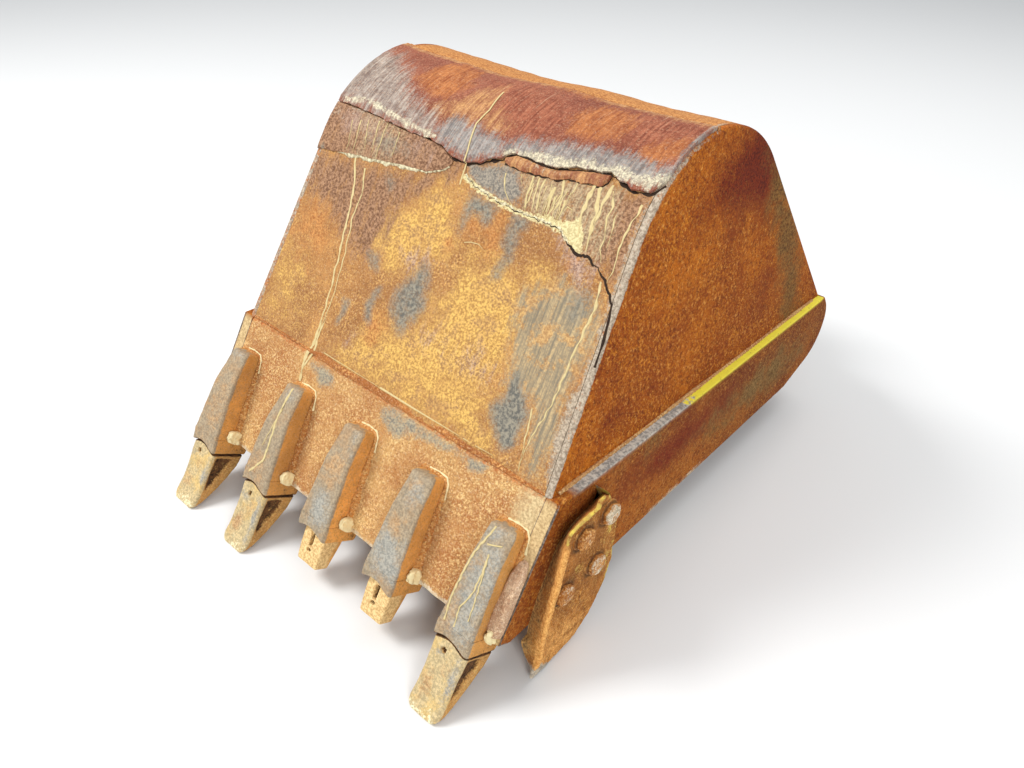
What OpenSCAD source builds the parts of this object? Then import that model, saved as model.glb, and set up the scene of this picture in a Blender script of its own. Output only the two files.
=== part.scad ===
// Digging bucket of a crawler excavator, standing mouth down on its teeth
// x runs across the bucket, y from the lip to the hinge ears, z up from the ground
// Side outlines are drawn as (y, z) with y = 0 at the lip edge, and x = 0 midway between the bars
// Work on the lip and floor is drawn as (x, along the floor, outward from it)

/* [Shell] */
// Width over the two side bars
bucket_width = 900; // [700:10:1300]
// Height of the heel's top above the ground
bucket_height = 842; // [760:2:920]
// Radius of the heel curve, outside
heel_radius = 280; // [220:5:330]
// Heel curve's centre, behind the lip edge
heel_reach = 618; // [560:2:700]
// Radius of the rear corner, outside
corner_radius = 95; // [60:5:130]
// Rear corner's centre, behind the lip edge
corner_reach = 1140; // [1060:5:1240]
// Rear corner's centre above the ground
corner_height = 213; // [190:2:240]
// Rise of the side's edge towards the rear corner, in degrees
corner_rise = 17; // [5:1:30]
// Height of the side bars' rear lower edge
mouth_height = 91; // [80:1:100]
// Lean of the side plates inwards, in degrees
side_lean = 4.8; // [2:0.2:8]
// Thickness of the wrapper
wrapper_thickness = 12; // [8:1:20]
// Thickness of the side plates
side_thickness = 14; // [8:1:20]
// Set-back of the side plates from the side bars, at lip height
side_set_back = 2; // [0:0.5:6]
// Thickness of the side bars
bar_thickness = 30; // [20:1:36]
// Height of the side bars' rear end above the ground
bar_rear_height = 299; // [260:1:320]

/* [Lip] */
// Height of the lip edge above the ground
lip_height = 122; // [100:1:140]
// Thickness of the lip plate
lip_thickness = 30; // [20:1:40]
// Length of the lip plate along the floor
lip_length = 271; // [240:1:320]
// Thickness left at the lip's bevelled edge
lip_edge = 12; // [6:1:18]
// Length of the lip's bevel
lip_bevel = 40; // [20:1:60]

/* [Heel wear plates] */
// Thickness of the heel plate
heel_plate_thickness = 8; // [4:0.5:12]
// Set-back of the heel plate from the side plates' outer face
heel_plate_margin = 5; // [2:0.5:12]
// Thickness of the patch below the heel plate
patch_thickness = 5; // [3:0.5:8]

/* [Teeth] */
// Middle of an end tooth, in from the side bar's outer face
end_tooth_inset = 66; // [62:1:110]
// Width of a tooth point where it meets the adapter
tooth_width = 80; // [60:1:90]
// Width of a tooth point at its tip
tooth_tip_width = 75; // [50:1:85]
// Thickness of a tooth point's tip
tooth_tip_thickness = 12; // [8:1:20]
// Outward height of a tooth point's tip
tooth_tip_out = 49; // [42:1:60]
// Outward height of a tooth point at its root
tooth_root_out = 40; // [36:1:46]
// Depth of a tooth point below the lip's outer face, at its root
tooth_root_in = 38; // [32:1:44]
// Open line between a tooth point and its adapter
tooth_joint_gap = 3; // [1:0.5:5]
// Depth of the long pocket in a tooth point's side
tooth_pocket_depth = 4; // [2:0.5:8]

/* [Adapters] */
// Width of an adapter's outer leg at its rear end
leg_width = 65; // [50:1:80]
// Length cut off each corner of that end
leg_corner = 9; // [2:1:20]
// Width of an adapter at its shoulder
shoulder_width = 82; // [64:1:92]
// Width of an adapter's inner leg
inner_leg_width = 66; // [50:1:80]
// Length of the outer leg on the lip
leg_length = 196; // [150:1:230]
// Length of the inner leg under the lip
inner_leg_length = 120; // [80:1:160]
// Height of the outer leg above the lip
leg_height = 47; // [36:1:60]
// Depth of the inner leg below the lip plate
inner_leg_depth = 24; // [16:1:34]
// Distance of the shoulder in front of the lip edge
shoulder_reach = 31; // [24:1:40]
// Sweep of the shoulder line to either side of that
shoulder_sweep = 10; // [0:1:16]
// Length of the nose in front of the lip edge
nose_length = 100; // [75:1:110]
// Width of the nose at its root
nose_width = 62; // [46:1:66]
// Width of the nose at its end
nose_end_width = 57; // [36:1:58]
// Play between a nose and its tooth point
nose_play = 1; // [0.5:0.25:2]
// Length of the lock slot through a nose
slot_length = 28; // [20:1:36]
// Width of the lock slot
slot_width = 10; // [6:1:14]

/* [Side cutter] */
// Thickness of the side cutter
cutter_thickness = 34; // [20:1:40]
// Height of the rib along the side cutter's front edge
cutter_rib_height = 9; // [4:1:20]
// Width of that rib
cutter_rib_width = 7; // [4:0.5:12]
// Least height of the side cutter above the ground
cutter_clearance = 6; // [2:1:20]
// Diameter of a cutter bolt
bolt_diameter = 24; // [16:1:28]
// Width across the flats of a bolt head and nut
bolt_flats = 36; // [30:1:42]
// Height of a bolt head
bolt_head = 15; // [10:1:20]
// Height of a nut
nut_height = 19; // [12:1:24]

/* [Hinge ears] */
// Gap between the two ears
ear_gap = 240; // [180:5:300]
// Thickness of an ear
ear_thickness = 35; // [25:1:45]
// Thickness of the ring on an ear's outer face
ear_ring = 17; // [8:1:24]
// Diameter of the pin bores
pin_diameter = 65; // [50:1:80]
// Radius of the ear round the arm pin, which rests on the ground
arm_boss_radius = 92; // [76:1:104]
// Radius of the ear round the link pin
link_boss_radius = 75; // [60:1:90]
// Arm pin, behind the lip edge
arm_pin_reach = 1330; // [1290:2:1400]
// Link pin, behind the lip edge
link_pin_reach = 1185; // [1150:2:1240]
// Link pin above the ground
link_pin_height = 455; // [420:1:500]
// Thickness of the gussets beside the ears
gusset_thickness = 14; // [8:1:20]
// Distance of the gussets down the back from the heel curve
gusset_place = 300; // [200:5:400]
// Length of a gusset's two legs
gusset_leg = 95; // [60:1:130]

/* [Hidden] */
$fn = 72;
// straight lines of the side outline touch both curves
heel = [heel_reach, bucket_height - heel_radius];
corner = [corner_reach, corner_height];
lip_to_heel = heel - [0, lip_height];
floor_angle = atan2(lip_to_heel[1], lip_to_heel[0]) + asin(heel_radius / norm(lip_to_heel));
heel_to_corner = corner - heel;
back_normal = atan2(heel_to_corner[1], heel_to_corner[0])
    + acos((heel_radius - corner_radius) / norm(heel_to_corner));
floor_length = sqrt(pow(norm(lip_to_heel), 2) - pow(heel_radius, 2));
end_normal = corner_rise - 90;
arm_pin = [arm_pin_reach, arm_boss_radius];
link_pin = [link_pin_reach, link_pin_height];
ring_arm = arm_boss_radius - 22;
ring_link = link_boss_radius - 17;
ear_out = ear_gap / 2 + ear_thickness;
bar_out = bucket_width / 2;
bar_in = bar_out - bar_thickness;
cutter_out = bar_out + cutter_thickness;
// the tooth's inner tip corner touches the ground
tip_in = tooth_tip_out - tooth_tip_thickness;
tip_reach = (lip_height + tip_in * cos(floor_angle)) / sin(floor_angle);
tip_reach_out = tip_reach + 5;
front_end = -tip_reach_out * cos(floor_angle) - tooth_tip_out * sin(floor_angle);
rear_end = arm_pin_reach + arm_boss_radius;
centre_y = (front_end + rear_end) / 2;
// only the right side has its cutter, so the whole is wider there
centre_x = (cutter_out + bolt_head - bar_out) / 2;
nose_root_out = tooth_root_out - 9;
nose_root_in = tooth_root_in - 13;
nose_end_out = nose_root_out - 6;
nose_end_in = nose_root_in - 20;
slot_middle = 50;
// a straight line ends this far inside the curve that it runs into
hair = 0.1;

function unit(a) = [cos(a), sin(a)];

// side view place of a point given along the floor from the lip edge, and outward from it
function lip_point(p) =
    [0, lip_height] + p[0] * unit(floor_angle) + p[1] * unit(floor_angle + 90);

// place on the floor of a point given as a share of half the width, and beyond the floor's end
function floor_point(p) = [p[0] * bar_out, floor_length + p[1]];

// torn lower edge of the heel plate: share of half the width, beyond the floor's end
tear_table = [
    [-0.889, 63], [-0.707, 58], [-0.582, 63], [-0.411, 51], [-0.304, 53], [-0.129, 42],
    [-0.067, 33], [0, 33], [0.133, 52], [0.176, 61], [0.269, 52], [0.422, 60], [0.556, 70],
    [0.631, 94], [0.744, 82], [0.827, 85], [0.889, 113]];
heel_tear = [for (p = tear_table) floor_point(p)];
// lower edge and round end of the patch, given in the same way
patch_table = [
    [-0.916, 75], [-0.916, -45], [-0.742, -34], [-0.576, -31], [-0.358, -19], [-0.189, -11],
    [-0.111, 0], [-0.073, 17], [-0.093, 35], [-0.127, 41], [-0.127, 75]];
patch_edge = [for (p = patch_table) floor_point(p)];
// side cutter outline: along the floor from the lip edge, outward
cutter_front_table = [[-66, -110], [10, -62], [190, -26], [234, -20]];
cutter_front = [for (p = cutter_front_table) lip_point(p)];
cutter_rear_table = [
    [298, -92], [276, -154], [195, -203], [110, -224], [25, -222], [-24, -176]];
cutter_rear = [for (p = cutter_rear_table) lip_point(p)];
// cutter bolts, given in the same way
bolt_table = [[272, -112], [228, -55], [168, -144], [118, -70]];
cutter_bolts = [for (p = bolt_table) lip_point(p)];

tooth_spacing = (bar_out - end_tooth_inset) / 2;
tooth_places = [for (i = [-2 : 2]) i * tooth_spacing];

// direction from a circle's centre to where a line from p touches it
function touch_angle(p, c, r, side) = atan2(p[1] - c[1], p[0] - c[0]) + side * acos(r / norm(p - c));

// half width over a leaning side plate, less a set-back, at height z
function side_x(z, back = 0) =
    bar_out - side_set_back - back / cos(side_lean) - tan(side_lean) * (z - lip_height);

// front line of an adapter's shoulder, from its left edge to its right
function shoulder_line(width, shift = 0) =
    [for (i = [-6 : 6])
        [i * width / 12, -shoulder_reach - shift - shoulder_sweep * sin(15 * i)]];

// side outline drawn inwards or outwards by a set-back; an inner one is open below
module side_outline(back = 0) {
    r = heel_radius - back;
    q = corner_radius - back;
    lip = [0, lip_height] - back * unit(floor_angle + 90);
    end = corner + (q - hair) * unit(end_normal);
    below = back > 0
        ? [[lip[0], -60], [end[0], -60]]
        : [lip - lip_thickness * unit(floor_angle + 90),
            [end[0] - (end[1] - mouth_height) / tan(corner_rise), mouth_height]];
    translate(heel) circle(r = r);
    translate(corner) circle(r = q);
    polygon(concat(below, [
        end,
        corner + (q - hair) * unit(back_normal),
        heel + (r - hair) * unit(back_normal),
        heel + (r - hair) * unit(floor_angle + 90),
        lip]));
}

// region above the side bars' upper edge
module above_bars() {
    front = [0, lip_height] + lip_length * unit(floor_angle);
    rear = [corner_reach + corner_radius / 2, bar_rear_height];
    run = (rear - front) / norm(rear - front);
    polygon([front - bucket_height * run, rear + bucket_height * run,
        [rear_end + bucket_height, 2 * bucket_height], [-bucket_height, 2 * bucket_height]]);
}

module on_lip() {
    translate([0, lip_height]) rotate(floor_angle) children();
}

module across(from, to) {
    translate([from, 0, 0]) rotate([90, 0, 90]) linear_extrude(to - from) children();
}

module on_floor() {
    translate([0, 0, lip_height]) rotate([floor_angle, 0, 0]) children();
}

// space between two planes that lean with the side plates, or between the two sides
module leaning(outer, inner) {
    low = 0;
    high = bucket_height + 50;
    translate([0, rear_end, 0])
        rotate([90, 0, 0])
            linear_extrude(rear_end + bucket_height)
                polygon([[side_x(low, outer), low], [side_x(high, outer), high],
                    [inner == "middle" ? -side_x(high, outer) : side_x(high, inner), high],
                    [inner == "middle" ? -side_x(low, outer) : side_x(low, inner), low]]);
}

module both_sides(side) {
    if (side > 0) children();
    else mirror([1, 0, 0]) children();
}

module placed() {
    translate([-centre_x, -centre_y, 0]) children();
}

// mouth side of a line through the rear corner, where its plates end
module below_rear_edge() {
    polygon([corner, [lip_length, corner_height], [lip_length, -200], [corner_reach, -200],
        corner + 3 * corner_radius * unit(end_normal + 4)]);
}

module wrapper_profile() {
    difference() {
        side_outline();
        side_outline(wrapper_thickness);
        on_lip() translate([-heel_radius, -heel_radius])
            square([heel_radius + lip_length, 2 * heel_radius]);
        below_rear_edge();
    }
}

module wrapper() {
    color("#8a4a22") placed() intersection() {
        across(-bar_out, bar_out) wrapper_profile();
        leaning(side_thickness, "middle");
    }
}

module heel_plate() {
    color("#7d4433") placed() intersection() {
        across(-bar_out, bar_out) difference() {
            intersection() {
                translate(heel) circle(r = heel_radius + heel_plate_thickness);
                polygon([heel, heel + 600 * unit(91), heel + 900 * unit(120),
                    heel + 600 * unit(floor_angle + 90)]);
            }
            translate(heel) circle(r = heel_radius);
        }
        leaning(heel_plate_margin, "middle");
        on_floor() translate([0, 0, -heel_radius]) linear_extrude(2 * heel_radius)
            polygon(concat([[-bar_out, floor_length + heel_radius * 2]], heel_tear,
                [[bar_out, floor_length + heel_radius * 2]]));
    }
}

module floor_patch() {
    color("#7a3f2c") placed() difference() {
        intersection() {
            across(-bar_out, bar_out) difference() {
                side_outline(-patch_thickness);
                side_outline();
            }
            leaning(side_thickness, "middle");
            on_floor() translate([0, 0, -heel_radius]) linear_extrude(2 * heel_radius)
                polygon(patch_edge);
        }
        on_floor() translate([0, 0, -heel_radius]) linear_extrude(2 * heel_radius)
            polygon(concat([[-bar_out, floor_length + heel_radius]], heel_tear,
                [[bar_out, floor_length + heel_radius]]));
    }
}

module lip_profile() {
    polygon([[0, 0], [lip_length, 0], [lip_length, -lip_thickness],
        [lip_bevel, -lip_thickness], [0, -lip_edge]]);
}

module lip_plate() {
    color("#9a5522") placed() across(-bar_in, bar_in) on_lip() lip_profile();
}

module rear_edge_bar() {
    color("#7b3f22") placed() intersection() {
        across(-bar_in, bar_in) difference() {
            translate(corner) circle(r = corner_radius - wrapper_thickness);
            translate(corner) circle(r = corner_radius - 2.6 * wrapper_thickness);
            translate([0, corner_height]) square([corner_reach + corner_radius, bucket_height]);
            below_rear_edge();
        }
        leaning(side_thickness, "middle");
    }
}

module side_plate(side) {
    color("#7a3214") placed() both_sides(side) intersection() {
        across(bar_in - 150, bar_out + 10) intersection() {
            side_outline();
            above_bars();
        }
        leaning(0, side_thickness);
    }
}

module side_bar(side) {
    color("#8b3f1a") placed() both_sides(side) difference() {
        across(bar_in, bar_out) difference() {
            side_outline();
            above_bars();
        }
        for (b = cutter_bolts)
            translate([bar_in - 10, b[0], b[1]]) rotate([0, 90, 0])
                cylinder(d = bolt_diameter + 2, h = bar_thickness + 20);
    }
}

module nose(play = 0) {
    w = nose_width / 2 + play;
    e = nose_end_width / 2 + play;
    intersection() {
        rotate([90, 0, 90]) translate([0, 0, -w]) linear_extrude(2 * w)
            polygon([[0, nose_root_out + play], [-nose_length, nose_end_out + play],
                [-nose_length, -nose_end_in - play], [0, -nose_root_in - play]]);
        translate([0, 0, -60]) linear_extrude(120)
            polygon([[-w, 0], [-e, -nose_length], [e, -nose_length], [w, 0]]);
    }
}

module lock_slot(play = 0) {
    translate([-slot_width / 2 - play, -slot_middle - slot_length / 2 - play, -70])
        cube([slot_width + 2 * play, slot_length + 2 * play, 140]);
}

module adapter_body() {
    l = leg_length;
    s = shoulder_width / 2;
    r = leg_width / 2;
    difference() {
        union() {
            intersection() {
                rotate([90, 0, 90]) translate([0, 0, -s]) linear_extrude(2 * s)
                    polygon([[l, 0], [l, leg_height - 9], [l - 5, leg_height - 3],
                        [l - 30, leg_height], [0, leg_height + 2], [-60, tooth_root_out - 3],
                        [-60, 3 - tooth_root_in], [-4, -lip_thickness - 16],
                        [0, -lip_thickness - 16], [0, 0]]);
                translate([0, 0, -90]) linear_extrude(180)
                    polygon(concat(shoulder_line(2 * s), [[s, 30], [r, l - leg_corner],
                        [r - leg_corner, l], [leg_corner - r, l], [-r, l - leg_corner],
                        [-s, 30]]));
            }
            rotate([90, 0, 90]) translate([0, 0, -inner_leg_width / 2])
                linear_extrude(inner_leg_width)
                    polygon([[-4, 0], [-4, -lip_thickness - 16],
                        [20, -lip_thickness - inner_leg_depth],
                        [inner_leg_length - 34, -lip_thickness - inner_leg_depth],
                        [inner_leg_length, -lip_thickness - 4],
                        [inner_leg_length, -lip_thickness], [lip_bevel, -lip_thickness],
                        [0, 0]]);
        }
        rotate([90, 0, 90]) translate([0, 0, -s - 5]) linear_extrude(2 * s + 10)
            lip_profile();
    }
}

module adapter(number) {
    color("#8d7f78") placed() translate([tooth_places[number - 1], 0, 0]) on_floor()
        difference() {
            union() {
                adapter_body();
                nose();
            }
            lock_slot();
        }
}

module tooth_body() {
    t = tip_reach_out;
    w = tooth_width / 2;
    e = tooth_tip_width / 2;
    intersection() {
        rotate([90, 0, 90]) translate([0, 0, -w]) linear_extrude(2 * w)
            polygon([[0, tooth_root_out], [-t * 0.58, tooth_root_out + 1],
                [-t, tooth_tip_out], [-tip_reach, tip_in], [-t * 0.69, -4],
                [-t * 0.36, 6 - tooth_root_in], [0, -tooth_root_in]]);
        translate([0, 0, -90]) linear_extrude(180)
            polygon(concat(shoulder_line(2 * w, tooth_joint_gap),
                [[e, -t + 14], [e - 12, -t], [12 - e, -t], [-e, -t + 14]]));
    }
}

module tooth_pocket() {
    w = tooth_width / 2;
    translate([0, -tip_reach * 0.56, tooth_root_out * 0.22]) rotate([13, 0, 0])
        rotate([90, 0, 90]) translate([0, 0, w - tooth_pocket_depth - 1])
            linear_extrude(tooth_pocket_depth + 10) {
                translate([26, 0]) circle(r = 13);
                translate([-26, 4]) circle(r = 8);
                polygon([[26, 13], [-26, 12], [-26, -4], [26, -13]]);
            }
}

module tooth_point(number) {
    color("#c09a62") placed() translate([tooth_places[number - 1], 0, 0]) on_floor()
        difference() {
            tooth_body();
            nose(nose_play);
            tooth_pocket();
            mirror([1, 0, 0]) tooth_pocket();
            translate([0, -slot_middle - 4, 0]) cylinder(d = 12, h = 80);
            translate([-slot_width / 2, -slot_middle - slot_length / 2, -80])
                cube([slot_width, slot_length, 80]);
        }
}

module lock_pin(number) {
    color("#4a4038") placed() translate([tooth_places[number - 1], 0, 0]) on_floor()
        translate([-slot_width / 2, -slot_middle - slot_length / 2, 8 - tooth_root_in])
            cube([slot_width, slot_length, tooth_root_in + nose_end_out - 8]);
}

module lip_tab(number) {
    color("#b5a68c") placed() translate([tooth_places[number - 1], 0, 0]) on_floor()
        difference() {
            translate([shoulder_width / 2, -6, -lip_edge - 2])
                cube([number < 5 ? 20 : 18, 24, lip_edge + 14]);
            translate([0, 0, -2 * lip_thickness]) cube([bar_out, lip_length, 2 * lip_thickness]);
        }
}

module cutter_outline() {
    intersection() {
        polygon(concat(cutter_front, cutter_rear));
        translate([-heel_radius, cutter_clearance]) square([3 * heel_radius, bucket_height]);
    }
}

module side_cutter() {
    inner_front = [for (p = cutter_front) p + cutter_rib_width * unit(-20)];
    color("#b06a24") placed() difference() {
        union() {
            across(bar_out, cutter_out) cutter_outline();
            across(cutter_out, cutter_out + cutter_rib_height) intersection() {
                cutter_outline();
                polygon([cutter_front[0], cutter_front[1], cutter_front[2], cutter_front[3],
                    inner_front[3], inner_front[2], inner_front[1], inner_front[0]]);
            }
        }
        for (b = cutter_bolts)
            translate([bar_out - 10, b[0], b[1]]) rotate([0, 90, 0])
                cylinder(d = bolt_diameter + 2, h = cutter_thickness + 60);
    }
}

module cutter_bolt(number) {
    b = cutter_bolts[number - 1];
    color("#9a5a20") placed() translate([0, b[0], b[1]]) rotate([0, 90, 0]) {
        translate([0, 0, bar_in - nut_height - 4])
            cylinder(d = bolt_diameter, h = cutter_out - bar_in + nut_height + 6);
        translate([0, 0, cutter_out])
            cylinder(d = bolt_flats / cos(30), h = bolt_head, $fn = 6);
        translate([0, 0, bar_in - nut_height])
            cylinder(d = bolt_flats / cos(30), h = nut_height, $fn = 6);
    }
}

module ear_profile() {
    start = heel + heel_radius * unit(back_normal) + 60 * unit(back_normal - 90)
        - 8 * unit(back_normal);
    foot = corner + (corner_radius - 8) * unit(end_normal);
    pins = arm_pin - link_pin;
    outer = atan2(pins[1], pins[0])
        + acos((link_boss_radius - arm_boss_radius) / norm(pins));
    top = touch_angle(start, link_pin, link_boss_radius, -1);
    under = touch_angle(foot, arm_pin, arm_boss_radius, 1);
    difference() {
        union() {
            translate(link_pin) circle(r = link_boss_radius);
            translate(arm_pin) circle(r = arm_boss_radius);
            polygon([
                heel,
                corner,
                foot,
                arm_pin + (arm_boss_radius - hair) * unit(under),
                arm_pin + (arm_boss_radius - hair) * unit(outer),
                link_pin + (link_boss_radius - hair) * unit(outer),
                link_pin + (link_boss_radius - hair) * unit(top),
                start]);
        }
        side_outline();
        translate(arm_pin) circle(d = pin_diameter);
        translate(link_pin) circle(d = pin_diameter);
    }
}

module hinge_ear(side) {
    color("#6f5a3a") placed() both_sides(side) across(ear_gap / 2, ear_out) ear_profile();
}

module pin_ring(side, pin, radius) {
    color("#77603c") placed() both_sides(side) across(ear_out, ear_out + ear_ring)
        difference() {
            translate(pin) circle(r = radius);
            translate(pin) circle(d = pin_diameter);
        }
}

module ear_gusset(side) {
    start = heel + heel_radius * unit(back_normal);
    color("#6a4a2c") placed() both_sides(side) translate([0, start[0], start[1]])
        rotate([back_normal - 90, 0, 0]) translate([0, gusset_place, 0]) rotate([90, 0, 0])
            linear_extrude(gusset_thickness)
                polygon([[ear_out, 0], [ear_out + gusset_leg, 0], [ear_out + gusset_leg, 12],
                    [ear_out + 12, gusset_leg], [ear_out, gusset_leg]]);
}

wrapper();
heel_plate();
floor_patch();
lip_plate();
rear_edge_bar();
side_plate(-1);  // side_plate_left
side_plate(1);  // side_plate_right
side_bar(-1);  // side_bar_left
side_bar(1);  // side_bar_right
adapter(1);  // adapter_1
adapter(2);  // adapter_2
adapter(3);  // adapter_3
adapter(4);  // adapter_4
adapter(5);  // adapter_5
tooth_point(1);  // tooth_point_1
tooth_point(2);  // tooth_point_2
tooth_point(5);  // tooth_point_5
lock_pin(1);  // lock_pin_1
lock_pin(2);  // lock_pin_2
lock_pin(5);  // lock_pin_5
lip_tab(1);  // lip_tab_1
lip_tab(2);  // lip_tab_2
lip_tab(3);  // lip_tab_3
lip_tab(4);  // lip_tab_4
lip_tab(5);  // lip_tab_5
side_cutter();
cutter_bolt(1);  // cutter_bolt_1
cutter_bolt(2);  // cutter_bolt_2
cutter_bolt(3);  // cutter_bolt_3
cutter_bolt(4);  // cutter_bolt_4
hinge_ear(-1);  // hinge_ear_left
hinge_ear(1);  // hinge_ear_right
pin_ring(-1, arm_pin, ring_arm);  // arm_ring_left
pin_ring(1, arm_pin, ring_arm);  // arm_ring_right
pin_ring(-1, link_pin, ring_link);  // link_ring_left
pin_ring(1, link_pin, ring_link);  // link_ring_right
ear_gusset(-1);  // ear_gusset_left
ear_gusset(1);  // ear_gusset_right
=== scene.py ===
"""Dresses the bucket's frame: rusted plates, worn teeth, welds, mud runs and the stage."""
import math

import bpy
import numpy as np
from bpy.props import FloatProperty, FloatVectorProperty, PointerProperty
from mathutils import Matrix


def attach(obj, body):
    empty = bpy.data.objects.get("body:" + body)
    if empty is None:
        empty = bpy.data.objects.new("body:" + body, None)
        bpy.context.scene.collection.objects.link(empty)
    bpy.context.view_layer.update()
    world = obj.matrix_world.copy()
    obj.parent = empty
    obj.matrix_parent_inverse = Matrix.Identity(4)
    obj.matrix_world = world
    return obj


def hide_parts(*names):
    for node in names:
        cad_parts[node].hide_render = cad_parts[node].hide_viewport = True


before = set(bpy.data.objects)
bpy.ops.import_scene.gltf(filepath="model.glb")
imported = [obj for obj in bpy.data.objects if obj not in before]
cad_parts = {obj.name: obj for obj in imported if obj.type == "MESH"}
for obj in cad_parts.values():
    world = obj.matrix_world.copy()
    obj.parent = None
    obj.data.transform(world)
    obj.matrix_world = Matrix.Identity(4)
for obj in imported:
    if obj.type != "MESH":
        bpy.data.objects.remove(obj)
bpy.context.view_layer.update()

bl_info = {
    "name": "Worn digging bucket",
    "version": (1, 0, 0),
    "blender": (4, 5, 0),
    "location": "View3D > Sidebar > Bucket",
    "description": "Dresses the frame of an excavator bucket with worn, rusted surfaces",
    "category": "Add Mesh",
}

MM = 1000.0  # millimetres in a metre: lengths below are in mm, the sizes in the panel in m
METRES = 0.001  # metres in a millimetre

# The side outline, in mm from the lip edge and the ground, as in the part's source
HEEL = np.array([618.0, 562.0])  # middle of the heel's circle: y, z
HEEL_R = 280.0
CORNER = np.array([1140.0, 213.0])  # middle of the rear corner's circle
CORNER_R = 95.0
CORNER_RISE = math.radians(17.0)  # the mouth's edge rises to the rear corner
MOUTH_Z = 91.0  # the mouth's edge before that
BAR_REAR_Z = 299.0  # rear end of a side bar's upper edge
LIP_Z = 122.0  # edge of the lip plate's outer face
LIP_LENGTH = 271.0
LIP_THICK = 30.0
# Across, in mm from the middle
LEAN = math.radians(4.8)  # the side plates lean inwards
BAR_OUT = 450.0  # outer and inner faces of the side bars
BAR_IN = 420.0
SET_BACK = 2.0  # from the bars' outer faces back to the side plates
HEEL_INSET = 5.0  # from the side plates in to the heel plate
PATCH_RIGHT = -33.0  # right end of the patch below the heel plate
TAB_X = 42.0  # from an adapter's middle to its lip tab
PAD_X = 433.0  # the pad beside the fifth adapter
TOOTH_X = np.array([-384.0, -192.0, 0.0, 192.0, 384.0])
# Thicknesses
WRAPPER_THICK = 12.0
SIDE_THICK = 14.0
CUTTER_THICK = 34.0
CUTTER_LIMIT = 494.5  # the cutter's bead stands no further out than this
# The frame's origin in these measures
CENTRE_X = 24.5
CENTRE_Y = 643.124

_to_heel = HEEL - (0.0, LIP_Z)
_reach = math.hypot(*_to_heel)
FLOOR_A = math.atan2(_to_heel[1], _to_heel[0]) + math.asin(HEEL_R / _reach)
_span = CORNER - HEEL
BACK_A = math.atan2(_span[1], _span[0]) + math.acos((HEEL_R - CORNER_R) / math.hypot(*_span))
S_HEEL = math.sqrt(_reach ** 2 - HEEL_R ** 2)
S_BACK = S_HEEL + HEEL_R * (FLOOR_A + math.pi / 2 - BACK_A)
S_CORNER = S_BACK + math.sqrt(_span @ _span - (HEEL_R - CORNER_R) ** 2)
S_END = S_CORNER + CORNER_R * (BACK_A - CORNER_RISE + math.pi / 2)


def side_path(s):
    """Outer side outline at arc length s from the lip: a straight floor, the heel's circle, a
    straight back and the rear corner's circle. Returns y, z and the outward normal's y and z."""
    s = np.asarray(s, float)
    a_heel = FLOOR_A + math.pi / 2 - np.clip(s - S_HEEL, 0, S_BACK - S_HEEL) / HEEL_R
    a_end = BACK_A - np.clip(s - S_CORNER, 0, None) / CORNER_R
    a = np.where(s < S_BACK, a_heel, a_end)
    ny, nz = np.cos(a), np.sin(a)
    flat = np.minimum(s, S_HEEL)
    y = np.where(s < S_HEEL, flat * math.cos(FLOOR_A), HEEL[0] + HEEL_R * ny)
    z = np.where(s < S_HEEL, LIP_Z + flat * math.sin(FLOOR_A), HEEL[1] + HEEL_R * nz)
    back = np.clip(s - S_BACK, 0, S_CORNER - S_BACK)
    y = np.where(s > S_BACK, HEEL[0] + HEEL_R * ny + back * math.sin(BACK_A), y)
    z = np.where(s > S_BACK, HEEL[1] + HEEL_R * nz - back * math.cos(BACK_A), z)
    y = np.where(s > S_CORNER, CORNER[0] + CORNER_R * ny, y)
    z = np.where(s > S_CORNER, CORNER[1] + CORNER_R * nz, z)
    return y, z, ny, nz


def on_shell(x, s, out=0.0):
    """Points at x across, s along the outline and out from it."""
    y, z, ny, nz = side_path(s)
    return np.stack(np.broadcast_arrays(x, y + out * ny, z + out * nz), -1)


def on_floor(x, along, out):
    """Points in the lip's own directions: across, up the floor from the lip edge, outwards."""
    y = along * math.cos(FLOOR_A) - out * math.sin(FLOOR_A)
    z = LIP_Z + along * math.sin(FLOOR_A) + out * math.cos(FLOOR_A)
    return np.stack(np.broadcast_arrays(x, y, z), -1)


def half_width(z, back=0.0):
    """Half the width over the leaning side plates at height z, less a set-back."""
    return BAR_OUT - SET_BACK - back / math.cos(LEAN) - math.tan(LEAN) * (z - LIP_Z)


def waves(u, v, size, seed, terms=9):
    """Smooth unevenness of about -1 to 1: a sum of sine waves about size long, each in its own
    direction and phase."""
    rng = np.random.default_rng(seed)
    total = np.zeros(np.broadcast(u, v).shape)
    for _ in range(terms):
        a, k, p = rng.uniform(0, math.tau), math.tau / size * rng.uniform(0.6, 1.6), rng.uniform(0, math.tau)
        total = total + np.sin(k * (u * math.cos(a) + v * math.sin(a)) + p)
    return total / math.sqrt(terms * 0.5) * 0.5


def step(a, b, t):
    """Smooth rise from 0 at a to 1 at b."""
    t = np.clip((t - a) / (b - a), 0, 1)
    return t * t * (3 - 2 * t)


def near(u, v, line):
    """Distance from points (u, v) to a line of straight stretches."""
    best = np.full(np.broadcast(u, v).shape, 1e9)
    line = np.asarray(line, float)
    for a, b in zip(line[:-1], line[1:]):
        d = b - a
        t = np.clip(((u - a[0]) * d[0] + (v - a[1]) * d[1]) / max(d @ d, 1e-9), 0, 1)
        best = np.minimum(best, np.hypot(u - a[0] - t * d[0], v - a[1] - t * d[1]))
    return best


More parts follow.
